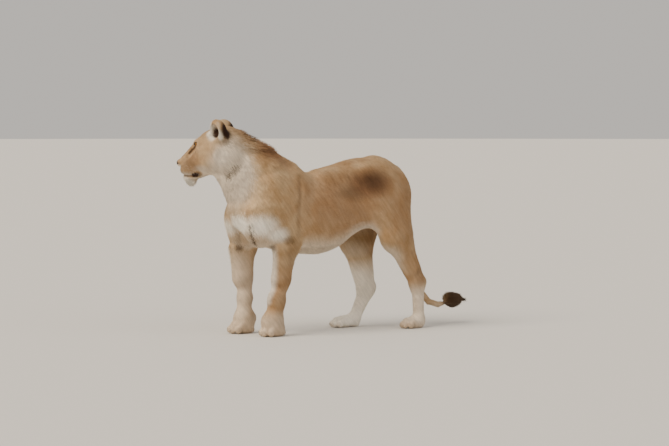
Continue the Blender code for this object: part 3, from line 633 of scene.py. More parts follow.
# What, how strong, where, its radii or width (in millimetres), and how soft its edge is.
BODY_MARKS = (
    # belly, white of the breast, grey-white neck and throat
    (PALE, 0.5, (0, 20, 450), (160, 400, 90)),
    (PALE, 1, (145, -470, 640), (80, 100, 64), 0.6),
    (PALE, 0.9, (168, -375, 590), (50, 70, 40), 0.7),
    (PALE, 1, (50, -545, 650), (85, 85, 56), 0.5),
    (PALE, 1, (-95, -490, 635), (85, 85, 56), 0.5),
    (PALE, 0.52, (0, -590, 940), (200, 120, 200)),
    (PALE, 0.14, (0, -560, 760), (120, 80, 90)),
    (DARK, 0.2, (0, -600, 790), (100, 70, 90), 0.6),
    # nape and withers, spine
    (RUFOUS, 1, (20, -340, 1065), (80, 110, 75), 0.4),
    (RUFOUS, 0.6, ((-50, -520, 1170), (0, -400, 1110)), 50, 0.7),
    (RUFOUS, 0.6, ((30, -400, 1040), (40, -270, 990)), 70, 0.7),
    (DARK, 0.8, ((-50, -520, 1170), (-20, -440, 1130)), 26, 0.7),
    (DARK, 0.5, ((-12, -390, 1115), (30, -340, 1050)), 15, 0.7),
    (RUFOUS, 0.35, (0, 150, 1000), (80, 450, 50)),
    # feet and lower legs, with painted highlights down the lit front edges of the forelegs
    (PALE, 0.28, (0, 100, 30), (600, 1400, 110)),
    (PALE, 0.85, (-130, 420, 200), (90, 200, 200)),
    (PALE, 0.95, (-130, 300, 50), (90, 140, 110)),
    (PALE, 0.5, (130, 630, 100), (80, 130, 160)),
    (PALE, 0.34, (-120, -450, 280), (80, 90, 270)),
    # painted highlight: a pale strip down the lit front edge of the left foreleg
    (PALE, 0.62, ((122, -372, 500), (122, -376, 328), (104, -398, 215)), 30, 0.7),
    (DARK, 0.14, (165, -330, 300), (60, 100, 240), 0.6),
    # painted highlight: a pale strip down the lit outer front edge of the right foreleg below the
    # elbow
    (PALE, 0.8, ((-160, -500, 480), (-165, -480, 400)), 30),
    # stain on the left haunch and its run forwards
    (RUFOUS, 1, (150, 270, 865), (90, 170, 95), 0.7),
    (DARK, 0.7, (150, 295, 882), (70, 85, 62), 0.9),
    (DARK, 0.36, (150, 170, 825), (80, 110, 48), 0.75),
    # darker spots above the elbows, dark streaks under the cheek
    (DARK, 0.4, ((-35, -512, 580), (-75, -490, 525)), 20, 0.6),
    (DARK, 0.72, (-79, -480, 508), (26, 26, 24), 0.6),
    (DARK, 0.65, (134, -376, 513), (22, 22, 24), 0.6),
    (DARK, 0.85, ((-4, -618, 940), (22, -596, 974), (46, -572, 1008)), 10.5, 0.7),
    (DARK, 0.85, ((22, -618, 914), (48, -596, 948), (72, -572, 982)), 10.5, 0.7),
    # painted shade on the inside of the right thigh and in the cleft beside the left foreleg, tuft
    # of the tail
    (DARK, 0.32, (-80, 350, 560), (60, 130, 130), 0.7),
    (DARK, 0.85, ((128, -521, 638), (102, -486, 540)), 17),
    (DARK, 0.9, (32, 1020, 150), (120, 150, 120), 0.15),
)
BODY_PAIRS = (
    # rim of the groin, wrist, point of the elbow, painted shade in the fold behind the shoulder and
    # at the hock
    (PALE, 0.18, ((124, 80, 530), (143, 160, 612), (150, 225, 640),
                  (146, 290, 622), (136, 335, 560)), 8),
    (DARK, 0.12, ((165, -330, 178), (110, -385, 182)), 16),
    (DARK, 0.4, (180, -290, 553), (30, 45, 24)),
    (DARK, 0.22, ((119, -186, 930), (178, -225, 757), (170, -217, 583)), 15, 0.9),
    (DARK, 0.3, (155, 630, 315), (40, 35, 60)),
    # ribs and haunches, shanks, forearms, and painted shade between the folds of skin on the ribs
    (RUFOUS, 0.62, (140, 100, 770), (120, 320, 210), 0.6),
    (RUFOUS, 0.45, (150, 480, 720), (120, 160, 240), 0.6),
    (RUFOUS, 0.4, (140, 580, 380), (80, 120, 180), 0.6),
    (RUFOUS, 0.4, (130, -330, 300), (60, 100, 200), 0.5),
    *((DARK, 0.24, ((50, y, 975 + 6 * k), (125, y + 45, 900), (160, y + 85, 800)), 7, 0.9)
      for k, y in enumerate(range(-50, 262, 52))),
)
HEAD_MARKS = (
    # chin and front of the muzzle, bridge of the nose, brow, nose leather
    (PALE, 1, (0, -190, -168), (55, 50, 50)),
    (PALE, 1, (0, -220, -100), (52, 24, 46)),
    (RUFOUS, 0.6, (0, -150, -10), (26, 80, 50)),
    (RUFOUS, 0.26, (0, -60, 0), (120, 160, 120), 0.5),
    (BARE, 1, (0, -226, -46), (33, 24, 15), 0.12),
    (BARE, 1, (0, -226, -58), (19, 20, 17), 0.12),
)
WHISKER_ROWS, WHISKERS_IN_ROW = 4, 5
WHISKER_SPOTS = [(62 - 4 * abs(row - 1.5), -192 + 14 * k + 3 * row, -76 - 9 * row - 4 * k)
                 for row in range(WHISKER_ROWS) for k in range(WHISKERS_IN_ROW)]
HEAD_PAIRS = (
    # back of the cheek, side of the muzzle, painted shade on the whisker pad, over the eye, under
    # it, corner of the lips
    (PALE, 0.6, (115, 60, -90), (60, 60, 70)),
    (RUFOUS, 0.48, (60, -120, -60), (45, 90, 60), 0.8),
    (DARK, 0.46, (58, -145, -76), (38, 70, 42), 0.9),
    (PALE, 0.35, (40, -70, 68), (22, 26, 12), 0.7),
    (DARK, 0.35, ((62, -100, -10), (78, -75, -22), (88, -50, -14)), 7),
    (DARK, 1, (58, -128, -140), (24, 27, 16)),
    # ears: pale front and rim, black back, painted shade in the hollow
    (PALE, 0.78, (75, 26, 85), (44, 32, 74)),
    (PALE, 0.8, (131, 84, 50), (12, 20, 60)),
    (DARK, 1, (106, 124, 60), (54, 38, 58)),
    (DARK, 0.5, (106, 110, 0), (32, 34, 32), 0.7),
    (DARK, 1, (77, 56, 58), (31, 26, 34)),
    *((DARK, 0.6, root, (8, 2.6, 2.6)) for root in WHISKER_SPOTS),
)
EYE_MARKS = (
    # pale below the lower lid, dark line from the outer corner
    (PALE, 0.6, ((-10, -19, 6), (14, -17, 2)), 6),
    (DARK, 1, ((16, 1, 10), (26, 2, 4), (37, 4, -6)), 4.5),
)
# dark rims of the lids: what, how strong, how far out they end and are full, in metres
LID_RIMS = ((BARE, 1, 0.0042, 0.0026), (DARK, 0.75, 0.0085, 0.0040))


def make_marks():
    MARKS.clear()
    for pose, once, pairs in ((UPRIGHT, BODY_MARKS, BODY_PAIRS), (HEAD, HEAD_MARKS, HEAD_PAIRS)):
        for row in once:
            mark(*row, pose=pose)
        for row in pairs:
            mark(*row, pose=pose)
            mark(*row, pose=pose, s=-1)
    for s in (1, -1):
        for row in EYE_MARKS:
            mark(*row, pose=eye_pose(s))
        for channel, strength, end, full in LID_RIMS:
            MARKS.append((channel, strength,
                          lambda p, s=s, end=end, full=full: ramp(off_opening(p, s), end, full)))
        mark(DARK, 0.85, LINES["tear", s], 7.2, 0.7)
        mark(BARE, 1, LINES["mouth", s], 5.2, 0.2)
        mark(DARK, 0.7, LINES["mouth", s], 6.8)


def marks_at(p, normal):
    """Strength of each marking at the points p, as columns."""
    value = np.zeros((len(p), 4))
    for channel, strength, share in MARKS:
        value[:, channel] = np.maximum(value[:, channel], share(p) * strength)
    under = ramp(normal[:, 2], *DOWNWARDS) * ramp(p[:, 2], *ABOVE_KNEES) * UNDERSIDE
    value[:, PALE] = np.maximum(value[:, PALE], under)
    return value


# ---------------------------------------------------------------- mesh tools
@contextmanager
def editing(mesh):
    """The mesh as a bmesh, which is written back in the end."""
    bm = bmesh.new()
    bm.from_mesh(mesh)
    yield bm
    bm.to_mesh(mesh)
    bm.free()


def read(mesh, what="co"):
    """The places, or with "normal" the normals, of the mesh's points."""
    flat = np.empty(len(mesh.vertices) * 3, np.float32)
    mesh.vertices.foreach_get(what, flat)
    return flat.reshape(-1, 3).astype(float)


def put_points(mesh, points):
    mesh.vertices.foreach_set("co", points.astype(np.float32).ravel())
    mesh.update()


def put_attribute(mesh, name, values):
    """A colour attribute on the points, from 4 columns."""
    layer = mesh.attributes.new(name, "FLOAT_COLOR", "POINT")
    layer.data.foreach_set("color", values.astype(np.float32).ravel())


def modified(mesh, kind, **settings):
    """A copy of the mesh with one modifier applied, and the old mesh removed."""
    obj = bpy.data.objects.new("work", mesh)
    bpy.context.scene.collection.objects.link(obj)
    change = obj.modifiers.new("change", kind)
    for key, value in settings.items():
        setattr(change, key, value)
    bpy.context.view_layer.update()
    graph = bpy.context.evaluated_depsgraph_get()
    result = bpy.data.meshes.new_from_object(obj.evaluated_get(graph))
    bpy.data.objects.remove(obj)
    bpy.data.meshes.remove(mesh)
    return result


def relax(mesh, rounds, chosen=None):
    """Evens out the chosen points, or all of them."""
    with editing(mesh) as bm:
        verts = bm.verts if chosen is None else [v for v in bm.verts if chosen[v.index]]
        for _ in range(rounds):
            bmesh.ops.smooth_vert(bm, verts=verts, factor=0.5, use_axis_x=True, use_axis_y=True,
                                  use_axis_z=True)


def shown(name, mesh, material):
    """A finished piece in the scene, riding on the one body."""
    mesh.name = name
    mesh.materials.append(material)
    obj = bpy.data.objects.new(name, mesh)
    bpy.context.scene.collection.objects.link(obj)
    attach(obj, "root")
    return obj


# ---------------------------------------------------------------- skin
FLESH = [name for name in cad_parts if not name.startswith("eye")]
WELD = 1e-5                       # solids' points nearer than this are one
PROBE, FARTHEST = 0.0006, 0.012   # settling: step that finds the slope, longest move in a round
FLATTEST = 70                     # degrees that a stretch of the unwrap may bend
EYE_FRONT = (0, 0, 0.014)         # in the eye's own axes
# The finer skin's limits in the head's axes, where -Y is to the nose: nape, throat, crown,
# behind the ears, back of the muzzle, back of the face; then round the nose and the mouth.
NAPE_SIDE, THROAT_LEVEL, CROWN_LEVEL = 0.06, -0.205, 0.02
BEHIND_EARS, MUZZLE_BACK, FACE_BACK = 0.13, -0.10, -0.02
NOSE_TIP, NOSE_STRETCH, NOSE_REACH = (0, -0.222, -0.055), (1.3, 1, 1), 0.032
MOUTH_LEVEL, MOUTH_REACH = -0.130, 0.024
# distances from the eye within which the skin is fine, finest, evened out and settled again
FINE, FINEST, EVENED, RESETTLED = 0.027, 0.021, 0.026, 0.028


def settle(mesh, chosen, rounds):
    """Moves the chosen points onto the skin, which lies below the forms by the coat's depth."""
    all_points = read(mesh)
    p = all_points[chosen]

    def height(p):
        return np.minimum(blended(p, BODY), blended(p, TAIL))

    for _ in range(rounds):
        depth = hair_at(p)[:, 0]
        d = height(p) + depth
        slope = np.stack([(height(p + PROBE * axis) + depth - d) / PROBE for axis in np.eye(3)], 1)
        push = np.clip(d / np.maximum((slope ** 2).sum(1), 0.1), -FARTHEST, FARTHEST)
        p = p - push[:, None] * slope
        p[:, 2] = np.maximum(p[:, 2], FLOOR_GAP)
    all_points[chosen] = p
    put_points(mesh, all_points)


def refine(mesh, chosen):
    """Splits every edge between two chosen points."""
    with editing(mesh) as bm:
        picked = [e for e in bm.edges if chosen[e.verts[0].index] and chosen[e.verts[1].index]]
        bmesh.ops.subdivide_edges(bm, edges=picked, cuts=1, use_grid_fill=True)
        bmesh.ops.triangulate(bm, faces=[f for f in bm.faces if len(f.verts) > 4])


def unwrap(obj, name):
    """An unwrap of the skin's own shape, by its flattest stretches."""
    obj.data.uv_layers.new(name=name)
    bpy.context.view_layer.objects.active = obj
    for other in bpy.context.selected_objects:
        other.select_set(False)
    obj.select_set(True)
    bpy.ops.object.mode_set(mode="EDIT")
    bpy.ops.mesh.select_all(action="SELECT")
    bpy.ops.uv.smart_project(angle_limit=math.radians(FLATTEST), island_margin=0.002)
    bpy.ops.object.mode_set(mode="OBJECT")


def flesh():
    """One mesh of a merged copy of every solid but the eyes, in the body's axes."""
    mesh = bpy.data.meshes.new("flesh")
    with editing(mesh) as bm:
        for name in FLESH:
            bm.from_mesh(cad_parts[name].data)
        bmesh.ops.remove_doubles(bm, verts=bm.verts, dist=WELD)
        bmesh.ops.translate(bm, verts=bm.verts, vec=MIDDLE)
    return mesh


def to_eye(p):
    """Distance to the front of the nearer eye."""
    return np.minimum(*(np.linalg.norm(eye_pose(s).local(p) - EYE_FRONT, axis=1) for s in (1, -1)))


def make_skin(settings):
    """One closed skin in place of all the flesh, finer at the head and finest round the eyes."""
    mesh = modified(flesh(), "REMESH", mode="VOXEL", voxel_size=settings.skin_grain)
    for evened, rounds in ((3, 3), (1, 1)):
        relax(mesh, evened)
        settle(mesh, np.arange(len(mesh.vertices)), rounds)
    _, back, up = HEAD.local(read(mesh)).T
    refine(mesh, (back < NAPE_SIDE) & (up > THROAT_LEVEL) | (up > CROWN_LEVEL))
    settle(mesh, np.flatnonzero(HEAD.local(read(mesh))[:, 1] < BEHIND_EARS), 2)
    local = HEAD.local(read(mesh))
    to_nose = np.linalg.norm((local - NOSE_TIP) / NOSE_STRETCH, axis=1)
    mouth = (local[:, 1] < MUZZLE_BACK) & (np.abs(local[:, 2] - MOUTH_LEVEL) < MOUTH_REACH)
    refine(mesh, (to_eye(read(mesh)) < FINE) | (to_nose < NOSE_REACH) | mouth)
    settle(mesh, np.flatnonzero(HEAD.local(read(mesh))[:, 1] < FACE_BACK), 3)
    refine(mesh, to_eye(read(mesh)) < FINEST)
    for _ in range(3):
        relax(mesh, 2, to_eye(read(mesh)) < EVENED)
        settle(mesh, np.flatnonzero(to_eye(read(mesh)) < RESETTLED), 2)
    mesh.shade_smooth()
    p, up = read(mesh), read(mesh, "normal")
    put_attribute(mesh, "marks", marks_at(p + up * hair_at(p)[:, :1], up))
    put_points(mesh, p - MIDDLE)
    skin = shown("skin", mesh, pelt("skin_under_coat", settings, False))
    unwrap(skin, "OFBake")
    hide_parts(*FLESH)


# ---------------------------------------------------------------- locks of hair
Roots = namedtuple("Roots", "at normal way uv hair marks")
FULLNESS = 0.4     # how much longer than a cone's a lock's width holds
LOCK_RISE = 1.6    # a lock leaves the skin steeper than it ends by this
FLATNESS = 0.4     # height of a lock over its width
BEND = 0.10        # how far locks curve sideways, over their length
WINDING, ANY_ANGLE = 5, 6.3       # radians that a wavy lock winds through, and may start at
LENGTHS, WIDTHS, LIFTS = (0.75, 1.15), (0.8, 1.2), (0.6, 1.3)   # own shares of the region's
SINK = 0.0012      # how deep a root stands in the skin,
SHALLOW = 0.5      # but no deeper than this share of the lock's own rise
SEEN = 0.5         # share of a lock's length at which it takes its colour
FEATHER = 0.16     # how unevenly, over its length
BARE_AROUND_EYE = 0.031
PATCH = 0.003      # size of a lock's patch on the unwrap
ROUNDNESS = 0.4    # how far a lock's own shape turns its shading from the skin's
UNEVENNESS = 0.07  # and how unevenly
DRAWN, CLUMP = 0.45, 14           # how far long locks draw together, about this many to a clump
SOLE_TOP, SOLE_TILT = 0.010, -0.5   # below this and facing down more than this, a paw is bare,
BARE_FROM = 0.3                     # and so is skin with more of the bare mark than this

# Planes that part the coat into pieces: along the body, up it, and in the head's own axes.
BREAST_BACK, WITHERS, BARREL_BACK, BELLY_BACK = -0.36, -0.10, 0.22, 0.30
NECK_BASE, ELBOWS, HEAD_BASE, EAR_BASE = 0.74, 0.45, 0.8, 0.9
NECK_FRONT, JOWLS, FACE_REAR, BEARD_REAR, BEARD_TOP = 0.075, -0.22, -0.07, -0.10, -0.15
EAR_INNER, EAR_LOW = 0.04, 0.06
BELLY_LENGTH = 0.027                # the belly's piece takes hair longer than this
CUTS = {"tuft": 1, "neck": 2, "chest": 2, "belly": 1, "beard": 1}   # bends along a lock, if any
WAVY, WAVE = ("neck", "chest"), 0.05


def lock_shape(cuts):
    """A thin closed three-sided spike: side, height and share of length of its points; faces."""
    bm = bmesh.new()
    bmesh.ops.create_cone(bm, cap_ends=True, cap_tris=False, segments=3, radius1=1, radius2=0,
                          depth=1, matrix=Matrix.Translation((0, 0, 0.5)))
    bmesh.ops.remove_doubles(bm, verts=bm.verts, dist=1e-4)
    for k in range(1, cuts + 1):
        bmesh.ops.bisect_plane(bm, geom=bm.verts[:] + bm.edges[:] + bm.faces[:],
                               plane_co=(0, 0, k / (cuts + 1)), plane_no=(0, 0, 1))
    bmesh.ops.triangulate(bm, faces=bm.faces)
    bm.verts.index_update()
    points = vec([v.co for v in bm.verts])
    faces = np.array([[v.index for v in f.verts] for f in bm.faces])
    bm.free()
    side, height, share = points.T
    fuller = np.maximum(1 - share, 1e-3) ** -FULLNESS
    return side * fuller, height * fuller, share, faces


def clumped(roots, rng):
    """The roots with their hair drawn together into clumps."""
    heads = rng.choice(len(roots.at), max(1, len(roots.at) // CLUMP), replace=False)
    tree = kdtree.KDTree(len(heads))
    tips = roots.at + roots.way * roots.hair[:, 1:2]
    for k, i in enumerate(heads):
        tree.insert(roots.at[i], k)
    tree.balance()
    mine = heads[[tree.find(p)[1] for p in roots.at]]
    drawn = tips + (tips[mine] - tips) * DRAWN
    way = drawn - roots.at
    way = way - (way * roots.normal).sum(1)[:, None] * roots.normal
    return roots._replace(way=unit(way))


def grow(name, roots, cuts, material, rng, splay=0.20, wave=0.0, furry=True):
    """One piece: locks joined into one mesh, shaded with the skin below them if they are furry."""
    side, height, share, faces = lock_shape(cuts)
    count = len(roots.at)
    length = roots.hair[:, 1] * rng.uniform(*LENGTHS, count)
    width = roots.hair[:, 2] * rng.uniform(*WIDTHS, count) / 2
    lift = roots.hair[:, 3] * rng.uniform(*LIFTS, count)
    across = np.cross(roots.normal, roots.way)
    way = unit(roots.way + across * rng.normal(0, splay, count)[:, None])
    across = np.cross(roots.normal, way)
    bend = rng.normal(0, BEND, (count, 1)) * share ** 2
    bend = bend + wave * np.sin(WINDING * share + rng.uniform(0, ANY_ANGLE, (count, 1))) * share
    rise = share * LOCK_RISE - share ** 2 * (LOCK_RISE - 1)
    sink = np.minimum(SINK, SHALLOW * np.abs(lift) * length)[:, None]
    points = (roots.at[:, None] + way[:, None] * (length[:, None] * share)[..., None]
              + across[:, None] * (width[:, None] * side + bend * length[:, None])[..., None]
              + roots.normal[:, None] * ((lift * length)[:, None] * rise - sink
                                         + FLATNESS * width[:, None] * height)[..., None])
    points = points.reshape(-1, 3)
    points[:, 2] = np.maximum(points[:, 2], FLOOR_GAP)
    every = (np.arange(count)[:, None, None] * len(share) + faces).reshape(-1)
    mesh = bpy.data.meshes.new(name)
    mesh.vertices.add(len(points))
    mesh.loops.add(len(every))
    mesh.polygons.add(len(every) // 3)
    mesh.loops.foreach_set("vertex_index", every.astype(np.int32))
    mesh.polygons.foreach_set("loop_start", np.arange(0, len(every), 3, dtype=np.int32))
    put_points(mesh, points - MIDDLE)
    mesh.polygons.foreach_set("use_smooth", np.ones(len(every) // 3, bool))
    ones = np.ones((count, len(share)))
    put_attribute(mesh, "marks", np.repeat(roots.marks, len(share), 0))
    shade = rng.uniform(0, 1, count)
    put_attribute(mesh, "lock", np.stack([ones * share, ones * shade[:, None], ones, ones],
                                         2).reshape(-1, 4))
    patch = np.stack([side, share * 2 - 1], 1) * PATCH / 2 / np.abs(side).max()
    uv = (roots.uv[:, None] + patch).reshape(-1, 2)
    layer = mesh.uv_layers.new(name="OFBake")
    layer.data.foreach_set("uv", uv[every].astype(np.float32).ravel())
    mesh.update(calc_edges=True)
    if furry:
        soft = (roots.normal + rng.normal(0, UNEVENNESS, (count, 3)))[:, None] + (
            across[:, None] * (ROUNDNESS * side)[None, :, None])
        mesh.normals_split_custom_set_from_vertices(unit(soft).reshape(-1, 3))
    return shown(name, mesh, material)


def scatter(skin, rng):
    """Roots spread over the whole skin at the spacing of its regions."""
    mesh = skin.data
    mesh.calc_loop_triangles()
    corners, loops = (np.empty(len(mesh.loop_triangles) * 3, np.int32) for _ in range(2))
    mesh.loop_triangles.foreach_get("vertices", corners)
    mesh.loop_triangles.foreach_get("loops", loops)
    corners, loops = corners.reshape(-1, 3), loops.reshape(-1, 3)
    uv = np.empty(len(mesh.loops) * 2, np.float32)
    mesh.uv_layers["OFBake"].data.foreach_get("uv", uv)
    uv = uv.reshape(-1, 2)
    p, normal = read(mesh) + MIDDLE, read(mesh, "normal")
    a, b, c = (p[corners[:, k]] for k in range(3))
    area = np.linalg.norm(np.cross(b - a, c - a), axis=1) / 2
    centre = (a + b + c) / 3
    wanted = area / hair_at(centre)[:, 4] ** 2
    total = np.cumsum(wanted)
    count = int(total[-1])
    drawn = (np.arange(count) + rng.uniform(0, 1, count)) * total[-1] / count
    pick = np.searchsorted(total, drawn)
    pick = np.minimum(pick, len(corners) - 1)
    u, v = rng.uniform(0, 1, (2, count))
    flip = u + v > 1
    u, v = np.where(flip, 1 - u, u), np.where(flip, 1 - v, v)
    weight = np.stack([1 - u - v, u, v], 1)[..., None]
    at = (p[corners[pick]] * weight).sum(1)
    up = unit((normal[corners[pick]] * weight).sum(1))
    way = lie(at)
    way = unit(way - (way * up).sum(1)[:, None] * up)
    coat = hair_at(at)
    seen = at + up * coat[:, :1] + (way * SEEN + rng.normal(0, FEATHER, (count, 3))) * coat[:, 1:2]
    marks = marks_at(seen, up)
    marks[:, BARE] = marks_at(at, up)[:, BARE]
    return Roots(at, up, way, (uv[loops[pick]] * weight).sum(1), coat, marks)


def chosen_roots(roots, mask):
    return Roots(*(column[mask] for column in roots))


def bald(roots):
    """Where no lock grows: nose, eyelids, inside of the mouth line, soles."""
    eye = to_eye(roots.at) < BARE_AROUND_EYE
    sole = (roots.at[:, 2] < SOLE_TOP) & (roots.normal[:, 2] < SOLE_TILT)
    return eye | sole | (roots.marks[:, BARE] > BARE_FROM)


def make_coat(settings):
    rng = np.random.default_rng(11)
    roots = scatter(bpy.data.objects["skin"], rng)
    keep = ~bald(roots)
    roots = chosen_roots(roots, keep)
    (x, y, z), (across, back, up) = roots.at.T, HEAD.local(roots.at).T
    on_tail = blended(roots.at, TAIL) < blended(roots.at, BODY)
    on_head = (back < NECK_FRONT) & (up > JOWLS) & (z > HEAD_BASE)
    places = [
        ("tuft", on_tail & (y > TUFT_START - 0.01)),
        ("tail", on_tail),
        ("ears", (up > EAR_LOW) & (np.abs(across) > EAR_INNER) & (back > 0) & (z > EAR_BASE)),
        ("beard", on_head & (back < BEARD_REAR) & (up < BEARD_TOP)),
        ("face", on_head & (back < FACE_REAR)),
        ("head", on_head),
        ("neck", (y < BREAST_BACK) & (z > NECK_BASE)),
        ("chest", (y < BREAST_BACK) & (z > ELBOWS)),
        ("forelegs", (y < 0) & (z < ELBOWS)),
        ("hindlegs", (y >= 0) & (z < ELBOWS)),
        ("belly", (y > BREAST_BACK) & (y < BELLY_BACK) & (roots.hair[:, 1] > BELLY_LENGTH)),
        ("shoulders", y < WITHERS),
        ("barrel", y < BARREL_BACK),
        ("haunches", y >= BARREL_BACK),
    ]
    material = pelt("coat_hair", settings, True)
    free = np.ones(len(x), bool)
    for place, mask in places:
        mask = mask & free
        free &= ~mask
        middle = across if place in ("face", "head", "neck") else x
        halves = {"_left": mask & (middle >= 0), "_right": mask & (middle < 0)}
        if place in ("tuft", "tail", "ears", "belly", "beard"):
            halves = {"": mask}
        for side, half in halves.items():
            mine = chosen_roots(roots, half)
            if place in WAVY:
                mine = clumped(mine, rng)
            grow(f"coat_{place}{side}", mine, CUTS.get(place, 0), material,
                 rng,
                 wave=WAVE if place in WAVY else 0.0)


# ---------------------------------------------------------------- eyes and whiskers
EYE_SINK = 0.0001               # the ball's gap to the lids
BULGE, BULGE_RADIUS = 0.0014, 0.0115
IRIS_EDGE = 0.0125              # radius at which the eye's rings end
WHISKER = hair(0, 34, 0.8, -0.12, 0)   # a whisker droops
WHISKER_CUTS = 4


def make_eyes(settings):
    """An eyeball with its clear bulge before the iris, on each side."""
    for s, side in ((1, "left"), (-1, "right")):
        gaze = Vector(HEAD.way(GAZE * (s, 1, 1)))
        place = (Matrix.Translation(Vector(HEAD.point(vec(EYE_CENTRE) * (s, 1, 1)) - MIDDLE))
                 @ gaze.to_track_quat("Z", "Y").to_matrix().to_4x4())
        mesh = bpy.data.meshes.new("eye")
        with editing(mesh) as bm:
            bmesh.ops.create_uvsphere(bm, u_segments=48, v_segments=40,
                                      radius=EYE_RADIUS - EYE_SINK)
            for v in bm.verts:
                out = math.hypot(v.co.x, v.co.y) / BULGE_RADIUS
                if v.co.z > 0 and out < 1:
                    v.co.z += BULGE * (1 - out * out) ** 2
            bmesh.ops.transform(bm, matrix=place, verts=bm.verts)
        mesh.shade_smooth()
        eye = shown("eyeball_" + side, mesh, eye_material(side, place, settings))
        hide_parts("eye_" + side)


def make_whiskers(settings):
    """Stiff pale hairs in rows on the whisker pads, and a few over each eye."""
    #  where on the left of the head in mm, which way, how long
    rows = []
    for k, at in enumerate(WHISKER_SPOTS):
        row, place = divmod(k, WHISKERS_IN_ROW)
        rows.append((at, (0.55 + 0.05 * place, 0.15 + 0.16 * place, 0.05 - 0.22 * row),
                     0.030 + 0.009 * place))
    for k in range(3):
        rows.append(((45 + 8 * k, -78 + 6 * k, 60), (0.45, 0.1 + 0.2 * k, 0.85), 0.034))
    at, way = (vec([vec(row[part]) * (s, 1, 1) for s in (1, -1) for row in rows])
               for part in (0, 1))
    at = on_surface(HEAD.origin + at / MM @ HEAD.turn.T)
    way = unit(way @ HEAD.turn.T)
    count = len(at)
    normal = unit(np.cross(np.cross(way, (0, 0, 1)), way))
    coat = np.tile(WHISKER, (count, 1))
    coat[:, 1] = [length for *_, length in rows * 2]
    marks = np.zeros((count, 4))
    marks[:, PALE] = 1.0
    roots = Roots(at, normal, way, np.full((count, 2), 0.5), coat, marks)
    grow("whiskers", roots, WHISKER_CUTS, whisker_material(),
         np.random.default_rng(5), splay=0.05, furry=False)


# ---------------------------------------------------------------- materials
def linear(hexed):
    """An sRGB hex colour as linear values."""
    values = (int(hexed[k:k + 2], 16) / 255 for k in (0, 2, 4))
    return (*(c / 12.92 if c <= 0.04045 else ((c + 0.055) / 1.055) ** 2.4 for c in values), 1.0)


def put(tree, node, sockets):
    """Fills a node's sockets: one given a socket is linked to it, one given a value holds it."""
    for key, value in sockets.items():
        if isinstance(value, bpy.types.NodeSocket):
            tree.links.new(value, node.inputs[key])
        else:
            node.inputs[key].default_value = value


def add(tree, kind, sockets=None, out=0, **settings):
    """Adds a node with its settings and sockets; returns one output of it, or all for None."""
    made = tree.nodes.new("ShaderNode" + kind)
    for key, value in settings.items():
        setattr(made, key, value)
    put(tree, made, sockets or {})
    return made.outputs if out is None else made.outputs[out]


def new_material(name):
    """A material, its node tree and its shader."""
    material = bpy.data.materials.new(name)
    material.use_nodes = True
    return material, material.node_tree, material.node_tree.nodes["Principled BSDF"]


FACTOR, FIRST, SECOND, MIXED = 0, 6, 7, 2   # sockets of a colour Mix
STREAK_SIZE = (0.016, 0.012, 0.100)         # along the flank's hair, 12 mm across and 100 mm long,
STREAK_SLOPE = math.radians(33)             # which runs down to the tail by this much
CLOUDS, GRAINS, FIBRES = 11.0, 650.0, 900.0   # in a metre: patches of 90 mm, nose leather, iris


def pelt(name, settings, is_lock):
    """Lion hair: dry short guard hair over a woolly coat, matt, in streaks and soft patches."""
    material, tree, shader = new_material(name)
    place = add(tree, "TexCoord", out="Object")
    marks = add(tree, "Attribute", out=None, attribute_name="marks")
    strength = add(tree, "SeparateColor", {"Color": marks["Color"]}, out=None)
    stretched = add(tree, "Mapping", {"Vector": place, "Rotation": (STREAK_SLOPE, 0, 0),
                                      "Scale": STREAK_SIZE}, vector_type="TEXTURE")
    streaks = add(tree, "TexNoise", {"Vector": stretched, "Scale": 1.0, "Detail": 3.0})
    clouds = add(tree, "TexNoise", {"Vector": place, "Scale": CLOUDS, "Detail": 4.0})

    def over(under, share, top, how="MIX"):
        return add(tree, "Mix", {FACTOR: share, FIRST: under, SECOND: top}, out=MIXED,
                   data_type="RGBA", blend_type=how)

    def times(a, b):
        return add(tree, "Math", {0: a, 1: b}, operation="MULTIPLY")

    warmth = add(tree, "MapRange", {"Value": clouds, "From Min": 0.35, "From Max": 0.68})
    colour = over(linear(settings.tawny), warmth, linear(settings.tawny_warm))
    colour = over(colour, strength["Blue"], linear(settings.rufous))
    colour = over(colour, strength["Red"], linear(settings.pale))
    colour = over(colour, strength["Green"], linear(settings.dark), "MULTIPLY")
    colour = over(colour, marks["Alpha"], linear(settings.leather))
    value = add(tree, "MapRange", {"Value": streaks, "From Min": 0.3, "From Max": 0.7,
                                   "To Min": 0.86, "To Max": 1.10})
    if is_lock:
        # painted light: a root is lightened to offset the shade that falls between the locks, as
        # daylight through fine hair does, and each lock differs a little
        lock = add(tree, "Attribute", attribute_name="lock")
        lock = add(tree, "SeparateColor", {"Color": lock}, out=None)
        root = add(tree, "MapRange", {"Value": lock["Red"], "To Min": 1.14, "To Max": 1.02})
        own = add(tree, "MapRange", {"Value": lock["Green"], "To Min": 0.93, "To Max": 1.07})
        value = times(times(value, root), own)
        finish = {"Roughness": 0.72, "Specular IOR Level": 0.15}
    else:
        # pebbled leather of the nose, 1.5 mm grain, smoother and damper than the skin under hair
        grain = add(tree, "TexVoronoi", {"Vector": place, "Scale": GRAINS}, out="Distance")
        bump = add(tree, "Bump", {"Height": grain, "Strength": 0.35, "Distance": 0.0006})
        rough = add(tree, "MapRange", {"Value": marks["Alpha"], "To Min": 0.9, "To Max": 0.42})
        finish = {"Roughness": rough, "Specular IOR Level": 0.3, "Normal": bump}
    final = add(tree, "VectorMath", {0: colour, 1: value}, operation="MULTIPLY")
    put(tree, shader, {"Base Color": final, "Sheen Weight": 0.04, "Sheen Roughness": 0.5, **finish})
    return material


def whisker_material():
    """Keratin bristle: smooth, translucent white with a soft gloss, paler to the tip."""
    material, tree, shader = new_material("whisker_bristle")
    lock = add(tree, "Attribute", attribute_name="lock")
    along = add(tree, "SeparateColor", {"Color": lock}, out="Red")
    mixed = add(tree, "Mix", {FACTOR: along, FIRST: linear("B9AA94"), SECOND: linear("F2ECE0")},
                out=MIXED, data_type="RGBA")
    put(tree, shader, {"Base Color": mixed, "Roughness": 0.35})
    return material


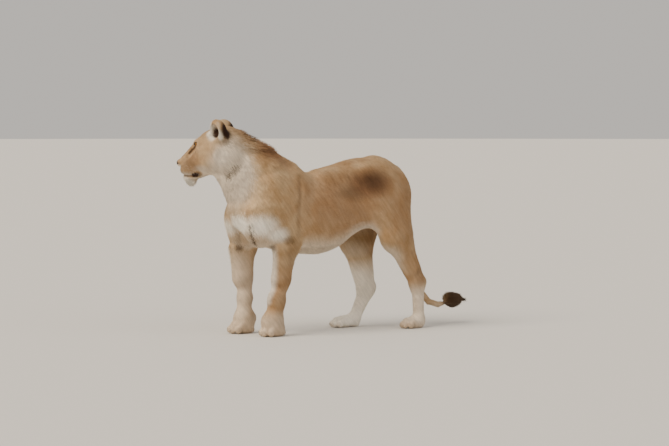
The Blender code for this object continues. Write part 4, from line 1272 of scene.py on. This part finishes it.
def eye_material(side, place, settings):
    """A live eye: amber iris, round pupil, dark brown white, all under a wet clear film."""
    material, tree, shader = new_material("wet_eye_" + side)
    coords = add(tree, "TexCoord", out="Object")
    local = add(tree, "Mapping", {"Vector": coords, "Location": place.translation,
                                  "Rotation": place.to_euler()}, vector_type="TEXTURE")
    flat = add(tree, "VectorMath", {0: local, 1: (1, 1, 0)}, operation="MULTIPLY")
    out = add(tree, "VectorMath", {0: flat}, out="Value", operation="LENGTH")
    ring = add(tree, "MapRange", {"Value": out, "From Max": IRIS_EDGE})
    fibres = add(tree, "TexNoise", {"Vector": local, "Scale": FIBRES})
    rings = tree.nodes.new("ShaderNodeValToRGB")
    put(tree, rings, {"Fac": ring})
    stops = ((0, "060403"), (0.27, "060403"), (0.31, "6E4613"), (0.60, settings.iris),
             (0.78, "7A4A12"), (0.86, "1B0F08"), (1.0, "2A1A12"))
    elements = rings.color_ramp.elements
    while len(elements) < len(stops):
        elements.new(0.5)
    for element, (at, hexed) in zip(elements, stops):
        element.position, element.color = at, linear(hexed)
    speck = add(tree, "MapRange", {"Value": fibres, "To Min": 0.7, "To Max": 1.25})
    final = add(tree, "VectorMath", {0: rings.outputs["Color"], 1: speck}, operation="MULTIPLY")
    put(tree, shader, {"Base Color": final, "Roughness": 0.12, "Specular IOR Level": 0.0,
                       "Coat Weight": 0.8, "Coat Roughness": 0.02})
    return material


def paper(name, hexed):
    """Matt studio paper."""
    material, tree, shader = new_material(name)
    put(tree, shader, {"Base Color": linear(hexed), "Roughness": 0.9})
    return material


# ---------------------------------------------------------------- stage
CAMERA = (11.086, -6.912, 1.32)
CAMERA_TURN = (87.0, 0.0, 58.0)   # degrees
FLOOR_RADIUS, SIGHT = 80, 500     # metres: the floor's, and how far the camera sees
SKY, SKY_STRENGTH = "ECE6DE", 0.75
LIGHTS = (
    #  from            watts per m2  degrees  colour
    ((0.12, -0.80, 0.85), 3.3, 40, "FFF4E4"),
    ((0.90, 0.45, 0.55), 0.5, 50, "EEF3FF"),
)


def placed(name, data, turn=None, at=(0, 0, 0)):
    """An object of the studio in the scene."""
    obj = bpy.data.objects.new(name, data)
    obj.location, obj.rotation_euler = at, turn or (0, 0, 0)
    bpy.context.scene.collection.objects.link(obj)
    return obj


def make_stage(settings):
    scene = bpy.context.scene
    mesh = bpy.data.meshes.new("floor")
    with editing(mesh) as bm:
        bmesh.ops.create_circle(bm, cap_ends=True, segments=96, radius=FLOOR_RADIUS)
    mesh.materials.append(paper("studio_paper", settings.floor))
    placed("floor", mesh)
    scene.world = bpy.data.worlds.new("studio")
    scene.world.use_nodes = True
    tree = scene.world.node_tree
    put(tree, tree.nodes["Background"], {"Color": linear(SKY), "Strength": SKY_STRENGTH})
    for k, (place, watts, degrees, hexed) in enumerate(LIGHTS):
        lamp = bpy.data.lights.new(f"soft_light_{k}", "SUN")
        lamp.energy, lamp.angle, lamp.color = watts, math.radians(degrees), linear(hexed)[:3]
        placed(lamp.name, lamp, (-Vector(place)).to_track_quat("-Z", "Y").to_euler())
    camera = bpy.data.cameras.new("camera")
    camera.lens, camera.sensor_width, camera.clip_end = settings.lens, 36.0, SIGHT
    scene.camera = placed("camera", camera, [math.radians(a) for a in CAMERA_TURN], CAMERA)


# ---------------------------------------------------------------- add-on
def hex_property(name, description, default):
    return bpy.props.StringProperty(name=name, description=description, default=default, maxlen=6)


class LionessSettings(bpy.types.PropertyGroup):
    skin_grain: bpy.props.FloatProperty(
        name="Skin grain", description="Size of the skin mesh's cells", default=0.0085,
        unit="LENGTH")
    lens: bpy.props.FloatProperty(
        name="Lens", description="Focal length of the camera", default=118.9,
        subtype="DISTANCE_CAMERA")
    tawny: hex_property("Tawny", "Main colour of the coat", "BEA17C")
    tawny_warm: hex_property("Warm tawny", "Its warmer patches", "AA8860")
    rufous: hex_property("Rufous", "Red-brown of the nape and flanks", "8C6646")
    pale: hex_property("Pale", "Cream of the throat, chest and feet", "F6EEDF")
    dark: hex_property("Dark", "Black-brown tint of the ears, lips and tail tuft", "3E2A1C")
    leather: hex_property("Leather", "Bare skin of the nose", "1C1310")
    iris: hex_property("Iris", "Amber of the eyes", "9C6C24")
    floor: hex_property("Floor", "Studio floor", "D9D5CE")


class LIONESS_OT_skin(bpy.types.Operator):
    """Make the one skin over all the solids"""
    bl_idname = "lioness.skin"
    bl_label = "Skin"

    def execute(self, context):
        make_forms()
        make_skin(context.scene.lioness)
        return {"FINISHED"}


class LIONESS_OT_coat(bpy.types.Operator):
    """Grow the locks of the coat on the skin"""
    bl_idname = "lioness.coat"
    bl_label = "Coat"

    def execute(self, context):
        make_coat(context.scene.lioness)
        return {"FINISHED"}


class LIONESS_OT_eyes(bpy.types.Operator):
    """Make both eyes"""
    bl_idname = "lioness.eyes"
    bl_label = "Eyes"

    def execute(self, context):
        make_eyes(context.scene.lioness)
        return {"FINISHED"}


class LIONESS_OT_whiskers(bpy.types.Operator):
    """Make the whiskers"""
    bl_idname = "lioness.whiskers"
    bl_label = "Whiskers"

    def execute(self, context):
        make_whiskers(context.scene.lioness)
        return {"FINISHED"}


class LIONESS_OT_stage(bpy.types.Operator):
    """Make the floor, the lights and the camera"""
    bl_idname = "lioness.stage"
    bl_label = "Studio"

    def execute(self, context):
        make_stage(context.scene.lioness)
        return {"FINISHED"}


class LIONESS_PT_panel(bpy.types.Panel):
    bl_label = "Lioness"
    bl_idname = "LIONESS_PT_panel"
    bl_space_type = "VIEW_3D"
    bl_region_type = "UI"
    bl_category = "Lioness"

    def draw(self, context):
        settings = context.scene.lioness
        for name in settings.__annotations__:
            self.layout.prop(settings, name)
        for operator in OPERATORS:
            self.layout.operator(operator.bl_idname)


OPERATORS = (LIONESS_OT_skin, LIONESS_OT_coat, LIONESS_OT_eyes, LIONESS_OT_whiskers,
             LIONESS_OT_stage)
CLASSES = (LionessSettings, *OPERATORS, LIONESS_PT_panel)


def register():
    for cls in CLASSES:
        bpy.utils.register_class(cls)
    bpy.types.Scene.lioness = bpy.props.PointerProperty(type=LionessSettings)


def unregister():
    del bpy.types.Scene.lioness
    for cls in reversed(CLASSES):
        bpy.utils.unregister_class(cls)


def main():
    register()
    bpy.ops.lioness.skin()
    bpy.ops.lioness.coat()
    bpy.ops.lioness.eyes()
    bpy.ops.lioness.whiskers()
    bpy.ops.lioness.stage()


if __name__ == "__main__":
    main()
